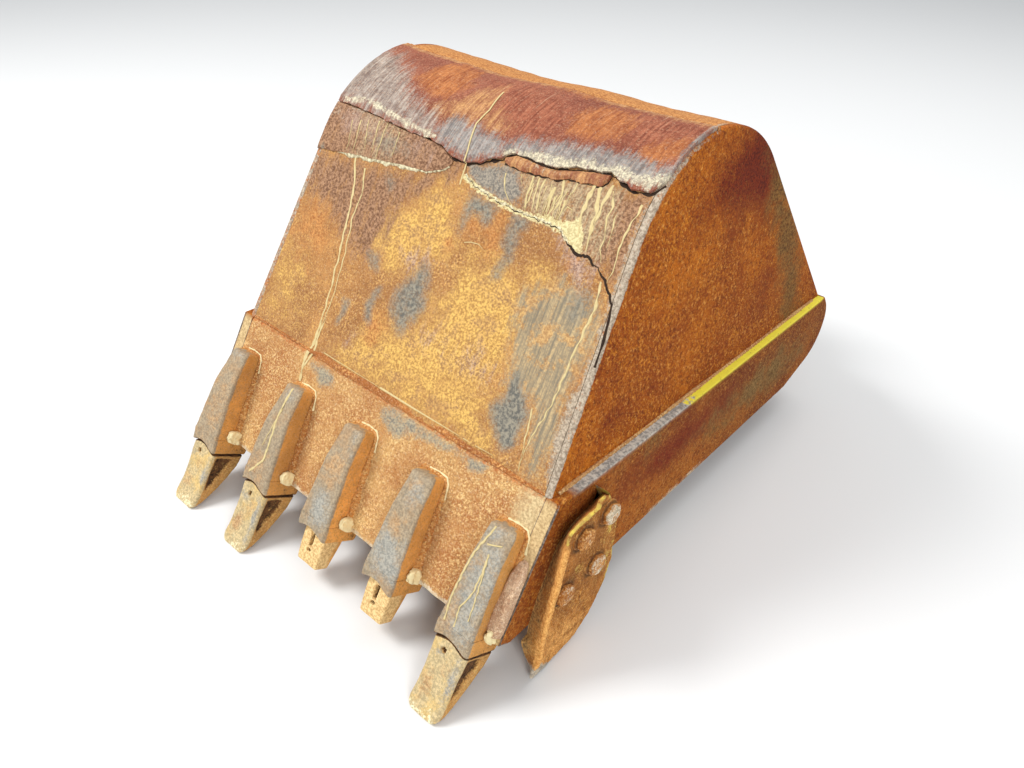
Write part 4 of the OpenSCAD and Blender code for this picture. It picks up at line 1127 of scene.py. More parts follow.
class BUCKET_OT_adapters(bpy.types.Operator):
    """Makes the five worn adapters and the weld bead round each"""
    bl_idname = "bucket.adapters"
    bl_label = "Adapters"

    def execute(self, context):
        """Rings of round-cornered rectangles along four parts, with a cast unevenness. The body ends at
        the joint line, the legs are worn down at their ends, and a pin slot is sunk into the nose."""
        c = context.scene.bucket
        for i, cx in enumerate(TOOTH_X):
            number = i + 1
            parts, marks, maps = [], [], []
            for kind, table, gap, corner, level in (("leg", LEG, 4, 5, 0.84), ("body", BODY, 3, 5, 0.8),
                                                    ("nose", NOSE, 1.5, 3.5, 0), ("under", UNDER, 5, 4, 0)):
                table = fine(table, gap)
                x, a, o = block_rings(table, corner)
                roof = np.broadcast_to(table[:, 3:4], x.shape)
                if kind == "body":
                    a = 1.5 + a / 31 * (shoulder(x) - 1.5)
                rough = waves(x + 40 * number, a, 34, 50 + number) + 0.5 * waves(x + o, a, 13, 60 + number)
                rough = MM * c.pitting * rough
                top = step(9, 3, roof - o)
                if kind == "leg":
                    x = x + 3 * step(120, 190, a) * step(10, 34, o)
                    o = o - self.slant(i, x, a) * np.clip(o / 40, 0, 1) ** 2
                if kind == "nose":
                    slot = step(5.8, 4.4, np.abs(x + 3)) * step(14.6, 13, np.abs(a + 48))
                    slot = np.maximum(slot, step(4.2, 2.6, np.hypot(x + 3, a + 71)))
                    o = o - 16 * slot * (o > 8)
                o = o + rough * (0.9 if kind != "nose" else 0.4) * step(2, 10, o)
                parts.append(loft(on_floor(cx + x, a, o)))
                dark = 0.25 * step(14, 2, o) * step(60, 10, a)
                warm, blue = (f * top for f in self.tones(i, x, a))
                # Painted shade: the pin slot is dark, and on the adapters that keep their point so is the
                # nose where it shows in the joint.
                if kind == "nose":
                    dark = np.maximum(slot, step(-24, -20, a) if number in POINTED else 0)
                    warm, blue = 0.95 * step(-14, 6, o), 0 * x
                # Painted shade in the joint: the body's last rings turn dark where a point sits on the nose.
                if kind == "body" and number in POINTED:
                    dark = np.maximum(dark, step(28.4, 29.6, table[:, :1]) + 0 * x)
                mark = np.stack([level * top + 0.1, dark + 0 * x, warm, blue, 0 * x + (kind == "nose")], -1)
                marks += [mark.reshape(-1, 5), np.zeros((2, 5))]
                maps += [np.stack([cx + x, a], -1).reshape(-1, 2), np.zeros((2, 2))]
            pts, faces = joined(parts)
            m = dict(zip(("bare", "dark", "warm", "blue", "nose"), np.concatenate(marks).T))
            add_mesh("adapter_worn_%d" % number, pts, faces, "adapter_worn", "adapter_steel",
                     ["adapter_%d" % number], np.concatenate(maps), m, smooth=35)
            self.weld(c, number, cx)
        self.drips()
        return {"FINISHED"}

    def drips(self):
        """Pale runs over the tops: ribbons whose width comes from slow waves along them."""
        leg = fine(LEG, 4)
        parts = []
        for i, wide, line in DRIPS:
            line = rounded(line, 120)
            line[:, 0] += 1.0 * waves(line[:, 1], 0, 22, 300 + i)
            x, a = line[:, 0] - TOOTH_X[i], line[:, 1]
            out = np.interp(a, leg[::-1, 0], leg[::-1, 3]) - self.slant(i, x, a) + 0.3
            w = wide * (0.8 + 0.4 * waves(a, 0, 18, 310 + i))
            parts.append(ribbon(line, np.maximum(w, 0.5), np.where(a < 0, 49.3, out), 0.9, on_floor))
        add_mesh("adapter_drips", *joined(parts), "dried_mud", "adapter_steel", smooth=60)

    def slant(self, i, x, a):
        """How far an adapter's left upper edge has worn down near its end."""
        return (8, 10, 4, 2, 4)[i] * step(96, 196, a) * step(4, -30, x)

    def tones(self, i, x, a):
        """Yellowed and blue-grey zones on an adapter's top."""
        warm = ([(0, 60, 60, 90, 0, .45)],
                [(-10, 10, 40, 30, 0, .5)],
                [(0, 120, 30, 50, 0, .5), (20, 190, 20, 20, 0, .3)],
                [(-4, 98, 26, 26, 0, .6), (0, 175, 30, 20, 0, .35)],
                [(-20, 20, 16, 60, 0, .5)])[i]
        blue = ([(0, 200, 30, 20, 0, .4)],
                [(10, 190, 20, 24, 0, .4)],
                [(6, 26, 26, 36, 0, .95), (20, 160, 14, 40, 0, .4)],
                [(6, 30, 60, 44, 0, .95), (6, 160, 26, 36, 0, .4)],
                [(8, 80, 34, 120, 0, .8), (0, 180, 30, 20, 0, .6)])[i]
        return blots(x, a, warm), blots(x, a, blue)

    def weld(self, c, number, cx):
        """Beads round an adapter's leg: ripples come from a sine along it, sags from slower waves;
        the thin pale bead follows the right corner of its end."""
        half = [(42, 8), (40, 60), (37, 126), (35, 170), (33.5, 192), (28, 199.5), (0, 200.5)]
        lift = on_floor(0, 0, 1.0) - on_floor(0, 0, 0.0)
        path = rounded(np.array(half + [(-x, a) for x, a in half[-2::-1]], float), 260)
        along = np.linspace(0, 1, len(path))
        ripple = 0.75 + 0.1 * np.sin(along * 330) + 0.22 * waves(along * 100, 0, 9, 70 + number)
        r = MM * c.weld_size * ripple
        r = r * np.interp(path[:, 1], [0, 120, 190], [2.3, 2.0, 1.0])
        bead = tube(on_floor(cx + path[:, 0], path[:, 1], -0.25 * r), r, 12, lift)
        add_mesh("adapter_weld_%d" % number, *bead, "toe_rust", "lip_steel")
        if number == 5:
            x, a, o = block_rings(fine(PAD, 4), 9)
            o = o + 1.6 * waves(x, a, 30, 79) * step(0, 8, o)
            add_mesh("corner_pad", *loft(on_floor(PAD_X + x, a, o)), "pad_rust", "lip_steel")
        path = rounded([(43, 166), (40.5, 178), (38, 194), (30, 204.5), (8, 206.5), (-14, 204)], 130)
        r = 1.6 + 0.9 * waves(path[:, 0] + path[:, 1], 0, 16, 75 + number)
        bead = tube(on_floor(cx + path[:, 0], path[:, 1], 0.9 + 0 * r), np.maximum(r, 0.5), 7, lift)
        add_mesh("adapter_pale_weld_%d" % number, *bead, "pale_weld", "lip_steel")


# Pale runs on the adapters' tops: adapter counted from 0, half width, x and distance up the floor
DRIPS = [
    (1, 3.0, [(-186, 196), (-189, 174), (-192, 131), (-189, 92), (-187, 63), (-186, 34), (-205, 8),
        (-214, -4)]),
    (1, 1.2, [(-187, 150), (-205, 60)]),
    (4, 2.2, [(374, 194), (368, 167), (358, 137), (355, 94), (352, 56), (357, 6)]),
    (4, 1.8, [(386, 148), (390, 112), (388, 75), (376, 41), (380, 6)]),
    (4, 1.6, [(404, 172), (395, 168), (375, 161)]),
    (4, 1.4, [(388, 140), (394, 103), (402, 30)])]

# Rings of a tooth point: up the floor, half width, low, high, draft
POINT = [
    (-34, 38.5, -36, 38, .05), (-36, 40, -38, 40, .05), (-62, 39.2, -33, 40, .05),
    (-90, 37.6, -20, 40.3, .04), (-118, 37.2, -4, 41.4, .03), (-140, 37.6, 13, 43.6, .02),
    (-152, 37.2, 23, 45.6, 0), (-160, 35.4, 29.5, 46.6, 0), (-166, 32, 34, 46.4, 0),
    (-169.6, 27.5, 37.4, 45.6, 0), (-171, 22, 40, 44.4, 0), (-171.3, 10, 41.6, 43.4, 0)]
# Side pocket of a tooth point: distance up the floor, outwards
POCKET = [
    (-44, 27), (-80, 29), (-104, 29.5), (-122, 27), (-106, 17), (-80, 4), (-58, -6), (-46, -10), (-42, 0)]


class BUCKET_OT_teeth(bpy.types.Operator):
    """Makes the three tooth points that are left, and the small tabs at the lip"""
    bl_idname = "bucket.teeth"
    bl_label = "Tooth points and tabs"

    def execute(self, context):
        """Rings along each point, from the joint line to the tip, with its side pockets, its pin hole
        and a worn hollow on top pushed in by soft masks."""
        c = context.scene.bucket
        shape = fine(POINT, 2.2)
        for number in POINTED:
            cx = TOOTH_X[number - 1]
            x, a, o = block_rings(shape, 6.5)
            # Painted shade in the joint: the point's first rings, at the joint with the adapter, turn dark.
            start = step(-38.6, -36.4, shape[:, :1]) + 0 * x
            high = np.broadcast_to(shape[:, 3:4], x.shape)
            flank = step(30, 36, np.abs(x))
            pocket = inside(a, o, POCKET, 5) * flank
            a = a + (shoulder(x) + 31) * step(-140, -34, a)
            roof = high - 4 < o
            x = x - np.sign(x) * 5.5 * pocket
            dip = 1.8 * np.exp(-((x / 22) ** 2) - (((a + 100) / 46) ** 2)) * roof
            uneven = waves(x + 90 * number, a, 38, 80 + number) + 0.5 * waves(x, a + o, 12, 84 + number)
            uneven = MM * c.pitting * uneven
            hx, ha = {1: (-12, -46), 2: (-9, -50), 5: (-10, -47)}[number]
            hole = step(5.6, 3.6, np.hypot(x - hx, (a - ha) * 0.85)) * roof
            o = o - dip + uneven * 0.8 - 8 * hole
            top = step(12, 5, high - o + 8 * hole)
            warm = blots(x, a, [(-14, -120, 16, 34, 0, .6), (6, -76, 14, 20, 0, .5)])
            blue = blots(x, a, [(28, -90, 8, 50, 0, .75), (-20, -56, 16, 12, 0, .5)])
            # The dark mark is painted shade: in the pin hole, in the side pockets and at the joint with the
            # adapter.
            marks = {"bare": 0.9 * top, "dark": np.maximum(np.maximum(hole, 0.85 * pocket), start),
                     "mud": 0.45 * step(-132, -168, a) * roof, "warm": 0.9 * top * warm,
                     "blue": 0.9 * top * blue}
            add_loft("tooth_point_worn_%d" % number, on_floor(cx + x, a, o), "tooth_worn", "tooth_steel",
                     ["tooth_point_%d" % number], marks, (cx + x, a), smooth=35)
        for i, cx in enumerate(TOOTH_X):
            w = 7.5 if i < 4 else 7
            rows = [(28, w - 3, 4, 20, 0), (25, w, 0, 26, .25), (12, w, -5, 27, .35), (3, w, -9, 21, .3),
                    (-1, w - 2, -10, 12, 0)]
            x, a, o = block_rings(fine(rows, 3), 3)
            o = o + 2.4 * waves(x + cx, a, 12, 90 + i)
            tab = loft(on_floor(cx + TAB_X + w + x + 1.8 * waves(a, o, 12, 95 + i), a, o))
            add_mesh("lip_tab_worn_%d" % (i + 1), *tab, "pale_weld", "tab_steel", ["lip_tab_%d" % (i + 1)])
        return {"FINISHED"}


# The side cutter's outlines in the lip's directions, from the tip to the top: its seat on the bar,
# the crest of its slanted front and its rear edge. Then the four bolts.
SEAT = [
    (-63, -112), (-30, -86), (-2, -70), (11, -80), (36, -70), (88, -58), (149, -54), (192, -49), (229, -68),
    (254, -92), (288, -132)]
CREST = [
    (-67, -102), (-42, -86), (-16, -80), (28, -59), (75, -44), (135, -29), (194, -7), (240, 10), (262, -10),
    (290, -56), (304, -79)]
REAR = [
    (-58, -124), (-24, -176), (-7, -199), (25, -223), (60, -230), (113, -235), (168, -221), (196, -203),
    (250, -171), (277, -148), (286, -125), (308, -92)]
BOLTS = [(272, -112), (228, -55), (168, -144), (118, -70)]


class BUCKET_OT_cutters(bpy.types.Operator):
    """Makes the right side cutter with its slanted front and bead, and its bolts"""
    bl_idname = "bucket.cutters"
    bl_label = "Side cutter and bolts"

    def execute(self, context):
        """Straight rows from the seat to the crest and on to the rear edge, rounded at both edges, with a
        raised bead along the crest."""
        seat, crest, rear = (rounded(line, 190) for line in (SEAT, CREST, REAR))
        t = np.concatenate([[0, .006, .014, .024, .036, .05, .065, .082, .1, .125], np.linspace(.16, .93, 44),
                            [.955, .972, .985, .994, 1]])
        face, width = ruled(crest, rear, t)
        far = t * width
        bead = 9.0 * step(16, 10, far) * step(40, 80, width)
        fall = edge_round(t, width, 4.0) + edge_round(1 - t, width, 7.0)
        a, o = face[..., 0], face[..., 1]
        rough = (0.9 * waves(a, o, 46, 101) + 0.6 * waves(a, o, 17, 102)) * step(0, 8, far)
        x = np.minimum(BAR_OUT + CUTTER_THICK + bead - np.minimum(fall, 12) + rough, CUTTER_LIMIT)
        v = np.array([0, 0.1, 0.25, 0.45, 0.65, 0.82, 0.94])
        slope = ruled(seat, crest, v)[0]
        thin = 24 * step(0, -60, seat[:, :1])
        uneven = 0.8 * waves(slope[..., 0], slope[..., 1], 24, 103) * step(0, .3, v)
        before = BAR_OUT + 1 + thin + v * (x[:, :1] - BAR_OUT - 1 - thin) + uneven
        behind = BAR_OUT + np.array([24.0, 14.0, 1.0])[None, :] + thin * [[0, 0.6, 1]]
        x = np.concatenate([before, x, behind], 1)
        skin = np.concatenate([slope, face, np.repeat(rear[:, None], 3, 1)], 1)
        a, o = skin[..., 0], skin[..., 1]
        column = np.arange(x.shape[1])
        share = np.linspace(0, 1, x.shape[1])
        flat = ruled(seat, rear, share)[0]
        inner = on_floor(BAR_OUT + 0.2 + thin + 0 * x, flat[..., 0], flat[..., 1])
        front = near(a, o, CREST)
        paint = blots(a, o, [(286, -140, 16, 26, 0, .5), (180, -190, 70, 12, 0, .5),
                             (160, -100, 16, 26, 0, .4), (240, -150, 36, 16, 0, .5)])
        top_edge = near(a, o, [(222, 6), (240, 8), (262, -12), (290, -58), (300, -76)])
        paint = np.maximum(paint, 0.75 * step(6, 2, top_edge))
        paint = np.maximum(paint, 0.6 * step(13, 4, near(a, o, REAR)) * step(60, 110, a))
        # Painted shadow: a dark ring round each bolt, strongest on the side of smaller a and o, where the
        # head's cast shadow would fall.
        ring = np.zeros_like(a)
        for ba, bo in BOLTS:
            d = np.hypot(a - ba, o - bo) + 1e-6
            away = (ba - a) / d * 0.6 + (bo - o) / d * 0.8
            ring = np.maximum(ring, np.exp(-((d - 28) / 4.5) ** 2) * (0.3 + 0.7 * step(-0.3, 0.6, away)))
        # Painted shade: a dark line along the base of the crest's raised bead, in the crease beside it.
        bead_foot_shade = 0.7 * step(5, 1, np.abs(front - 17)) * step(170, 210, a) * (o > -90)
        glow = np.maximum(0.9 * step(26, 8, front) * step(226, 200, a), 0.55 * step(90, 10, a))
        marks = {"paint": paint,
                 "orange": glow * (column > 4),
                 "slope": np.clip(1 - column / 6.0, 0, 1) * step(-46, -10, a) * step(262, 236, a),
                 "dark": np.maximum(ring, bead_foot_shade) * (column > 7),
                 "bare": np.maximum(0.85 * step(-30, -50, a), 0.5 * step(0.97, 1, share) + 0 * a)}
        add_plate("side_cutter_worn", on_floor(x, a, o), inner, "cutter_rust", "cutter_steel",
                  ["side_cutter"], marks)
        for number, (a, o) in enumerate(BOLTS, 1):
            self.bolt(number, *on_floor(0.0, a, o)[1:])
        self.empty_holes()
        return {"FINISHED"}

    def empty_holes(self):
        """The left cutter is missing: its four bolt holes are not cut, and show as dark rounds of painted
        shade on the left bar.
        """
        turn = np.linspace(0, math.tau, 40, endpoint=False)
        discs = []
        for a, o in BOLTS:
            y, z = on_floor(0.0, a, o)[1:]
            x = -BAR_OUT + np.array([[4.0], [-0.7], [-0.9]])
            r = np.array([[13.0], [13.0], [12.2]]) + 0.3 * waves(np.cos(turn) * 13, np.sin(turn) * 13, 9, 120)
            discs.append(loft(np.stack([x + 0 * r, y + r * np.cos(turn), z + r * np.sin(turn)], -1)))
        add_mesh("bolt_hole_shades", *joined(discs), "crack_dark", "bar_steel", smooth=60)

    def bolt(self, number, by, bz):
        """Head, washer and nut: a six-sided radius, r = apothem / cos(turn within a sixth),
        carried along the bolt and blended to a circle where it is round."""
        a = np.linspace(0, math.tau, 72, endpoint=False) + 0.35 * number
        six = 19.0 / np.cos((a + math.pi / 6) % (math.pi / 3) - math.pi / 6)
        head = [(482, 25, 0), (486, 25, 0), (486.6, 24, 0), (486.8, 19.5, 1), (495, 19.6, 1),
                (498, 18.2, 0.7), (499, 13, 0), (499.2, 5, 0)]
        nut = [(399, 13, 0), (400, 18, 0.7), (402, 20.5, 1), (419, 20.5, 1), (420, 20.5, 1)]
        parts, bare, dark = [], [], []
        for rows in (fine(head, 1.5), nut):
            t = np.asarray(rows, float)
            r = t[:, 1:2] * (1 - t[:, 2:3]) + t[:, 2:3] * six[None, :] * t[:, 1:2] / 19.6
            r = r + 0.5 * waves(t[:, :1] * 3, a[None, :] * 12, 14, 110 + number)
            x = np.repeat(t[:, :1], len(a), 1)
            parts.append(loft(np.stack([x, by + r * np.cos(a), bz + r * np.sin(a)], -1)))
            # Painted shade: a dark ring at the base of the head where it meets the washer, and one side of
            # the head darkened as if turned from the light.
            head_base_shade = 0.85 * np.exp(-((x - 487.4) / 1.6) ** 2)
            shade = 0.8 * step(0.1, 0.9, np.cos(a + 0.5) + 0 * x) * step(497.5, 494, x)
            dark.append(np.append(np.maximum(head_base_shade, shade), [0, 0]))
            # Pale tops of the heads, stronger on some bolts: worn metal with a painted highlight.
            shine = (0.62, 0.12, 0.5, 0.3)[number - 1]
            bare.append(np.append(shine * step(491, 496, x), [0, 0.4]))
        marks = {"bare": np.concatenate(bare), "dark": np.concatenate(dark)}
        add_mesh("cutter_bolt_worn_%d" % number, *joined(parts), "bolt_rust", "bolt_steel",
                 ["cutter_bolt_%d" % number], marks=marks)


class BUCKET_OT_welds(bpy.types.Operator):
    """Lays the weld beads along the seams and round the ears"""
    bl_idname = "bucket.welds"
    bl_label = "Welds"

    def execute(self, context):
        """Circles carried along the seams, with ripples from a sine and sags from slower waves."""
        c = context.scene.bucket
        x = np.linspace(-416, 416, 620)
        wide = np.interp(x, [-230, -180, 60, 300, 416], [2.4, 7.4, 6.6, 5.0, 2.6])
        wide = wide * (1 + 0.14 * waves(x, 0, 40, 121))
        seam = np.stack([x, LIP_LENGTH + 2.5 + 0.8 * waves(x, 0, 60, 122)], -1)
        add_mesh("lip_seam_weld", *ribbon(seam, wide, 0 * x, 1.3), "seam_rust", "lip_steel")
        x = np.linspace(-385, 385, 460)
        s = heel_s(91) + 1.0 * waves(x, 0, 80, 123)
        r = 4.6 + 0.6 * np.sin(x / 1.7) + 0.6 * waves(x, 0, 60, 124)
        bead = tube(on_shell(x, s, dent(x, s, c) + 1.5), r, 8, (0, 0, 1))
        add_mesh("heel_top_weld", *bead, "weld_rust", "heel_steel")
        beads = []
        for side in (-1, 1):
            p = strip_line(np.linspace(0.02, 0.965, 620))
            r = 4.0 + 0.5 * np.sin(np.arange(620) / 1.3) + 0.6 * waves(p[:, 0], 0, 70, 125)
            q = np.stack([side * (half_width(p[:, 1]) + 0.5), p[:, 0], p[:, 1] + 0.5], -1)
            beads.append(tube(q, r, 8, (1, 0, 0)))
        add_mesh("side_welds", *joined(beads), "lip_rust", "side_steel")
        beads = []
        for x in (-118, -157, 118, 157):
            s = np.linspace(S_BACK + 66, S_CORNER + 100, 260)
            r = 5.0 + 0.6 * np.sin(np.arange(260) / 1.4) + 0.7 * waves(s, 0, 50, 127)
            x = x + 0 * s
            beads.append(tube(on_shell(x, s, dent(x, s, c) + 1.0), r, 8, (1, 0, 0)))
        add_mesh("ear_welds", *joined(beads), "weld_rust", "ear_steel")
        return {"FINISHED"}


# Runs of dried mud down the floor: x and s from top to bottom, then half the width; first those
# below the patch, then those that start at the torn edge
LOW_RUNS = [
    ([(-283, 672), (-261, 622), (-249, 575), (-236, 495), (-223, 408), (-217, 341), (-215, 295), (-225, 249),
        (-216, 205)], 3.4),
    ([(-246, 660), (-230, 609), (-234, 563), (-220, 489), (-209, 390), (-210, 303)], 2.4),
    ([(368, 770), (366, 731), (366, 694), (370, 661), (369, 634)], 2.6),
    ([(357, 632), (363, 608), (366, 588), (364, 543), (362, 509), (362, 474), (362, 441), (361, 409),
        (354, 374), (347, 335), (349, 284)], 2.9),
    ([(328, 391), (338, 341), (352, 289)], 1.8),
    ([(-175, 284), (-90, 283), (-2, 282)], 1.2),
    ([(-2, 282.5), (100, 283), (212, 283.5)], 2.4),
    ([(220, 283), (240, 283)], 1.4),
    ([(252, 283), (292, 284)], 1.3)]
HIGH_RUNS = [
    ([(271, 775), (271, 747), (274, 717), (282, 688)], 5.0),
    ([(283, 776), (296, 735), (302, 699), (310, 668)], 4.6),
    ([(302, 786), (303, 757), (304, 727), (304, 695)], 4.0),
    ([(308, 776), (321, 752), (321, 730), (331, 703), (333, 680), (343, 660)], 2.4),
    ([(335, 740), (337, 716), (343, 686)], 2.0),
    ([(90, 745), (93, 736), (106, 714), (121, 701), (134, 694)], 1.6),
    ([(123, 752), (126, 744), (135, 734)], 1.4),
    ([(150, 756), (154, 734), (154, 711), (163, 694)], 2.6),
    ([(163, 757), (170, 724), (176, 698)], 2.6),
    ([(173, 757), (179, 730), (183, 706), (186, 693)], 2.2),
    ([(212, 766), (222, 740), (220, 714), (220, 700)], 3.6),
    ([(238, 769), (239, 748)], 1.8),
    ([(236, 716), (240, 726), (251, 724), (254, 714)], 1.4),
    ([(62, 603), (75, 608), (93, 610), (107, 604)], 1.6)]


class BUCKET_OT_mud(bpy.types.Operator):
    """Lays dried mud runs down the floor, and the cracks in it"""
    bl_idname = "bucket.mud"
    bl_label = "Mud runs and cracks"

    def execute(self, context):
        """Ribbons along the runs, moved sideways by waves and thinning towards their ends."""
        c = context.scene.bucket
        rows = list(LOW_RUNS)
        # thin runs from the torn edge down to the patch's weld
        for x0, x1, s0, s1 in ((-322, -309, 740, 681), (-301, -289, 746, 681), (-280, -262, 751, 694),
                               (-251, -239, 756, 694), (-229, -223, 759, 688), (-187, -180, 749, 702)):
            rows.append(([(x0, s0), (x0 * 0.4 + x1 * 0.6, (s0 + s1) / 2), (x1, s1)], 1.5))
        rows += HIGH_RUNS
        # fine runs from the torn edge down to the crack, set out at random
        rng = np.random.default_rng(131)
        for x0 in rng.uniform(146, 236, 20):
            s0 = 756 - rng.uniform(0, 26)
            x1 = x0 + rng.uniform(-4, 9)
            line = [(x0, s0), (x0 + rng.uniform(-4, 5), (s0 + 694) / 2), (x1, 694 + rng.uniform(0, 8))]
            rows.append((line, rng.uniform(1.0, 2.2)))
        # a width below 0 stands for a run that swells from its start
        rows += [([(-215, 345), (-215, 295), (-225, 249), (-214, 204)], -4.6),
                 ([(-209, 350), (-208, 300), (-206, 270), (-218, 238)], -3.0)]
        parts = []
        for i, (line, w) in enumerate(rows):
            p = rounded(line, 90)
            p[:, 0] += 1.8 * waves(p[:, 1], 0, 34, 140 + i)
            thinning = step(0, 20, np.arange(90))
            if w > 0:
                thinning = np.sqrt(np.clip(np.linspace(1.05, 0.02, 90), 0.05, 1))
            wide = np.maximum(abs(w) * (0.75 + 0.4 * waves(p[:, 1], 0, 26, 180 + i)) * thinning, 0.3)
            on_patch = (p[:, 0] < PATCH_RIGHT) * (p[:, 1] > np.interp(p[:, 0], *np.array(PATCH_LOW).T) + 2)
            parts.append(ribbon(p, wide, dent(*p.T, c) + 5.0 * on_patch, 0.7))
        over_top = rounded([(-29, 899), (-18, 846), (-23, 811), (-6, 758), (-1, 727), (2, 697)], 160)
        lift = np.where(over_top[:, 1] > tear_s(over_top[:, 0]), MM * c.heel_thick + 1.0, 0)
        parts.append(ribbon(over_top, 1.6 + 0 * lift, dent(*over_top.T, c) + lift, 0.7))
        add_mesh("mud_runs", *joined(parts), "dried_mud", "floor_steel", smooth=60)
        self.crack(c)
        return {"FINISHED"}

    def crack(self, c):
        """The crack's pale rim, then dark ribbons of painted shade for the open crack and painted shadow in
        the gaps under the torn edges.
        """
        pale = self.wander(CRACK[1:10], 300)
        wide = 1.5 + 1.4 * waves(pale[:, 0], 0, 18, 233)
        rim = ribbon(pale + (0, 2.0), np.maximum(wide, 0.5), dent(*pale.T, c), 0.9)
        add_mesh("crack_rim", *rim, "cream_weld", "floor_steel", smooth=60)
        p = self.wander(CRACK, 460)
        wide = 0.9 + 1.7 * step(240, 300, p[:, 0]) * (0.8 + 0.5 * waves(p[:, 0] + p[:, 1], 0, 30, 232))
        opened = step(0.0, 0.3, waves(p[:, 0], 0, 50, 234) + step(200, 250, p[:, 0]))
        # Painted shade: a dark ribbon along the open crack.
        parts = [ribbon(p, np.clip(wide * (0.5 + 0.5 * opened), 0.4, 4), dent(*p.T, c), 0.35)]
        # Painted shadow: dark ribbons under the heel plate's torn edge and under the flap's lower edge.
        for line, most in ((np.array(TEAR[1:-1], float), 2.8),
                           (np.array(FLAP_LOW + FLAP_HIGH[-1:], float) + (0, 1), 2.2)):
            g = rounded(line, 460)
            g[:, 1] = arc_s(g[:, 1]) - 1.2 + 1.0 * waves(g[:, 0], 0, 12, 235)
            wide = np.maximum(most * (0.8 + 0.7 * waves(g[:, 0], 0, 26, 236)), 0.7)
            parts.append(ribbon(g, wide, dent(*g.T, c), 0.5))
        add_mesh("floor_crack_shade", *joined(parts), "crack_dark", "floor_steel", smooth=60)

    def wander(self, line, count):
        """A stretch of the crack, moved up and down by two sizes of waves."""
        p = rounded(line, count)
        p[:, 1] += 2.0 * waves(p[:, 0], 0, 22, 230) + 1.2 * waves(p[:, 0], 0, 8, 231)
        return p


class BUCKET_OT_frame_finishes(bpy.types.Operator):
    """Gives the nodes that stay, such as the ears and their rings, their finishes"""
    bl_idname = "bucket.frame_finishes"
    bl_label = "Frame finishes"

    def execute(self, context):
        """Each node that no piece replaces gets one material, chosen by its name."""
        for node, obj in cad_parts.items():
            name = "inside_rust" if node == "rear_edge_bar" else "ear_rust"
            if node.startswith("lock_pin"):
                name = "pin_dark"
            if not obj.data.materials:
                obj.data.materials.append(bpy.data.materials[name])
            for i in range(len(obj.data.materials)):
                obj.data.materials[i] = bpy.data.materials[name]
        return {"FINISHED"}


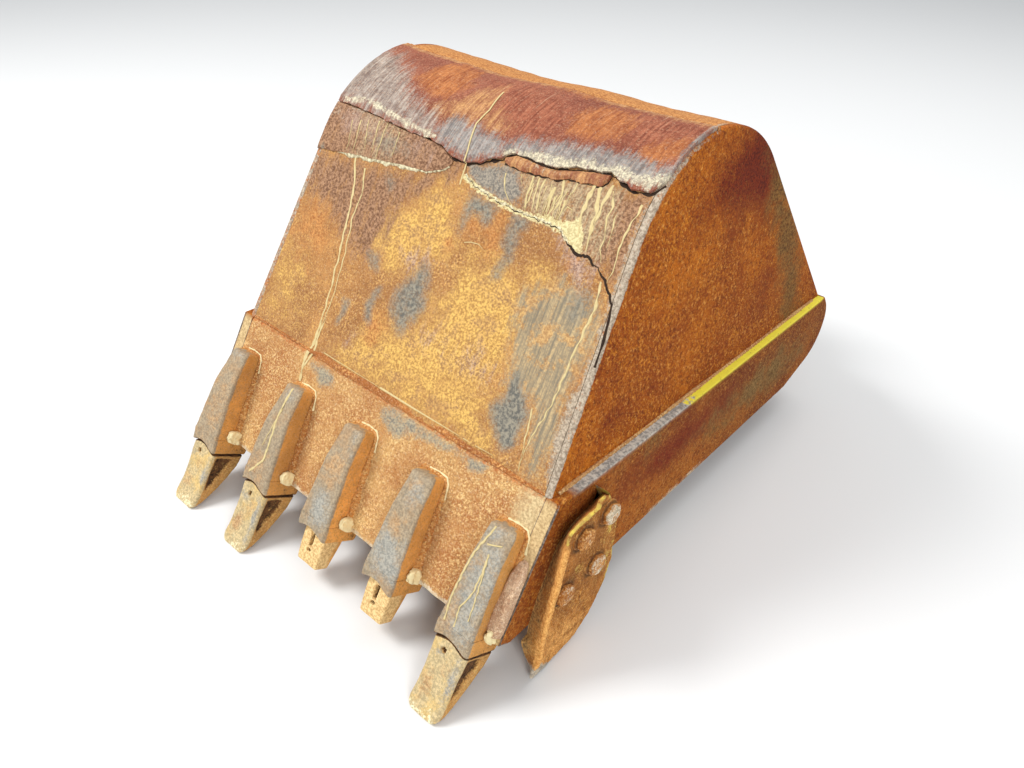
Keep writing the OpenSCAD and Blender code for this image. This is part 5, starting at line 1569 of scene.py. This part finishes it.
class BUCKET_OT_stage(bpy.types.Operator):
    """Sets up the pale floor, the soft light and the camera"""
    bl_idname = "bucket.stage"
    bl_label = "Stage"

    def execute(self, context):
        """Ground, pale sky, three soft lamps aimed at the bucket, and the photograph's camera."""
        scene = context.scene
        mesh = bpy.data.meshes.new("ground")
        mesh.from_pydata([(-40, -40, 0), (40, -40, 0), (40, 40, 0), (-40, 40, 0)], [], [(0, 1, 2, 3)])
        ground = bpy.data.objects.new("ground", mesh)
        scene.collection.objects.link(ground)
        f = Finish("pale_floor")
        f.done((0.78, 0.78, 0.77), 0.9)
        mesh.materials.append(f.mat)
        world = bpy.data.worlds.new("soft_sky")
        world.use_nodes = True
        world.node_tree.nodes["Background"].inputs["Color"].default_value = (0.93, 0.96, 1.0, 1)
        world.node_tree.nodes["Background"].inputs["Strength"].default_value = 0.56
        scene.world = world
        for name, place, size, power in (("key", (-3.0, -2.6, 4.8), 2.2, 290),
                                         ("fill", (3.4, -2.6, 2.6), 1.4, 80),
                                         ("top", (0.5, 3.0, 5.0), 3.0, 120)):
            lamp = bpy.data.lights.new(name, "AREA")
            lamp.energy = power
            lamp.size = size
            obj = bpy.data.objects.new(name, lamp)
            obj.location = place
            aim = np.array([0, 0, 0.35]) - place
            tilt = math.atan2(math.hypot(aim[0], aim[1]), -aim[2])
            obj.rotation_euler = (tilt, 0, math.atan2(aim[1], aim[0]) - math.pi / 2)
            scene.collection.objects.link(obj)
        self.camera(scene)
        scene.view_settings.view_transform = "Standard"
        return {"FINISHED"}

    def camera(self, scene):
        """The photograph's view: yaw, pitch and roll turned into the camera's own three axes."""
        yaw, pitch, roll = (math.radians(v) for v in (-40.905, 36.404, -1.107))
        ahead = np.array([math.sin(yaw) * math.cos(pitch), math.cos(yaw) * math.cos(pitch), -math.sin(pitch)])
        right = np.array([math.cos(yaw), -math.sin(yaw), 0])
        down = np.cross(ahead, right)
        across = right * math.cos(roll) + down * math.sin(roll)
        under = -right * math.sin(roll) + down * math.cos(roll)
        cam = bpy.data.cameras.new("photo_view")
        cam.sensor_width = 36
        cam.lens = 810.31 / 1024 * 36  # focal length and width of the photograph in pixels
        cam.clip_end = 200
        obj = bpy.data.objects.new("photo_view", cam)
        m = Matrix.Identity(4)
        for col, vec in enumerate((across, -under, -ahead)):
            for row in range(3):
                m[row][col] = float(vec[row])
        m.translation = (1.0114 - CENTRE_X * METRES, (-628.0 - CENTRE_Y) * METRES, 1.3)
        obj.matrix_world = m
        scene.collection.objects.link(obj)
        scene.camera = obj


STEPS = (BUCKET_OT_finishes, BUCKET_OT_wrapper, BUCKET_OT_heel_plate, BUCKET_OT_lip, BUCKET_OT_sides,
         BUCKET_OT_adapters, BUCKET_OT_teeth, BUCKET_OT_cutters, BUCKET_OT_welds, BUCKET_OT_mud,
         BUCKET_OT_frame_finishes, BUCKET_OT_stage)


class BUCKET_PT_panel(bpy.types.Panel):
    """The bucket's sizes, colours and pieces"""
    bl_label = "Worn bucket"
    bl_idname = "BUCKET_PT_panel"
    bl_space_type = "VIEW_3D"
    bl_region_type = "UI"
    bl_category = "Bucket"

    def draw(self, context):
        """A field for each size and a button for each step."""
        for key in BucketSizes.__annotations__:
            self.layout.prop(context.scene.bucket, key)
        for step_class in STEPS:
            self.layout.operator(step_class.bl_idname)


def register():
    """Adds the sizes, the operators and the panel to Blender."""
    for item in (BucketSizes, *STEPS, BUCKET_PT_panel):
        bpy.utils.register_class(item)
    bpy.types.Scene.bucket = PointerProperty(type=BucketSizes)


def unregister():
    """Takes them out again, last first."""
    del bpy.types.Scene.bucket
    for item in reversed((BucketSizes, *STEPS, BUCKET_PT_panel)):
        bpy.utils.unregister_class(item)


def main():
    """Runs every step in order."""
    register()
    for item in STEPS:
        group, call = item.bl_idname.split(".")
        getattr(getattr(bpy.ops, group), call)()


if __name__ == "__main__":
    main()
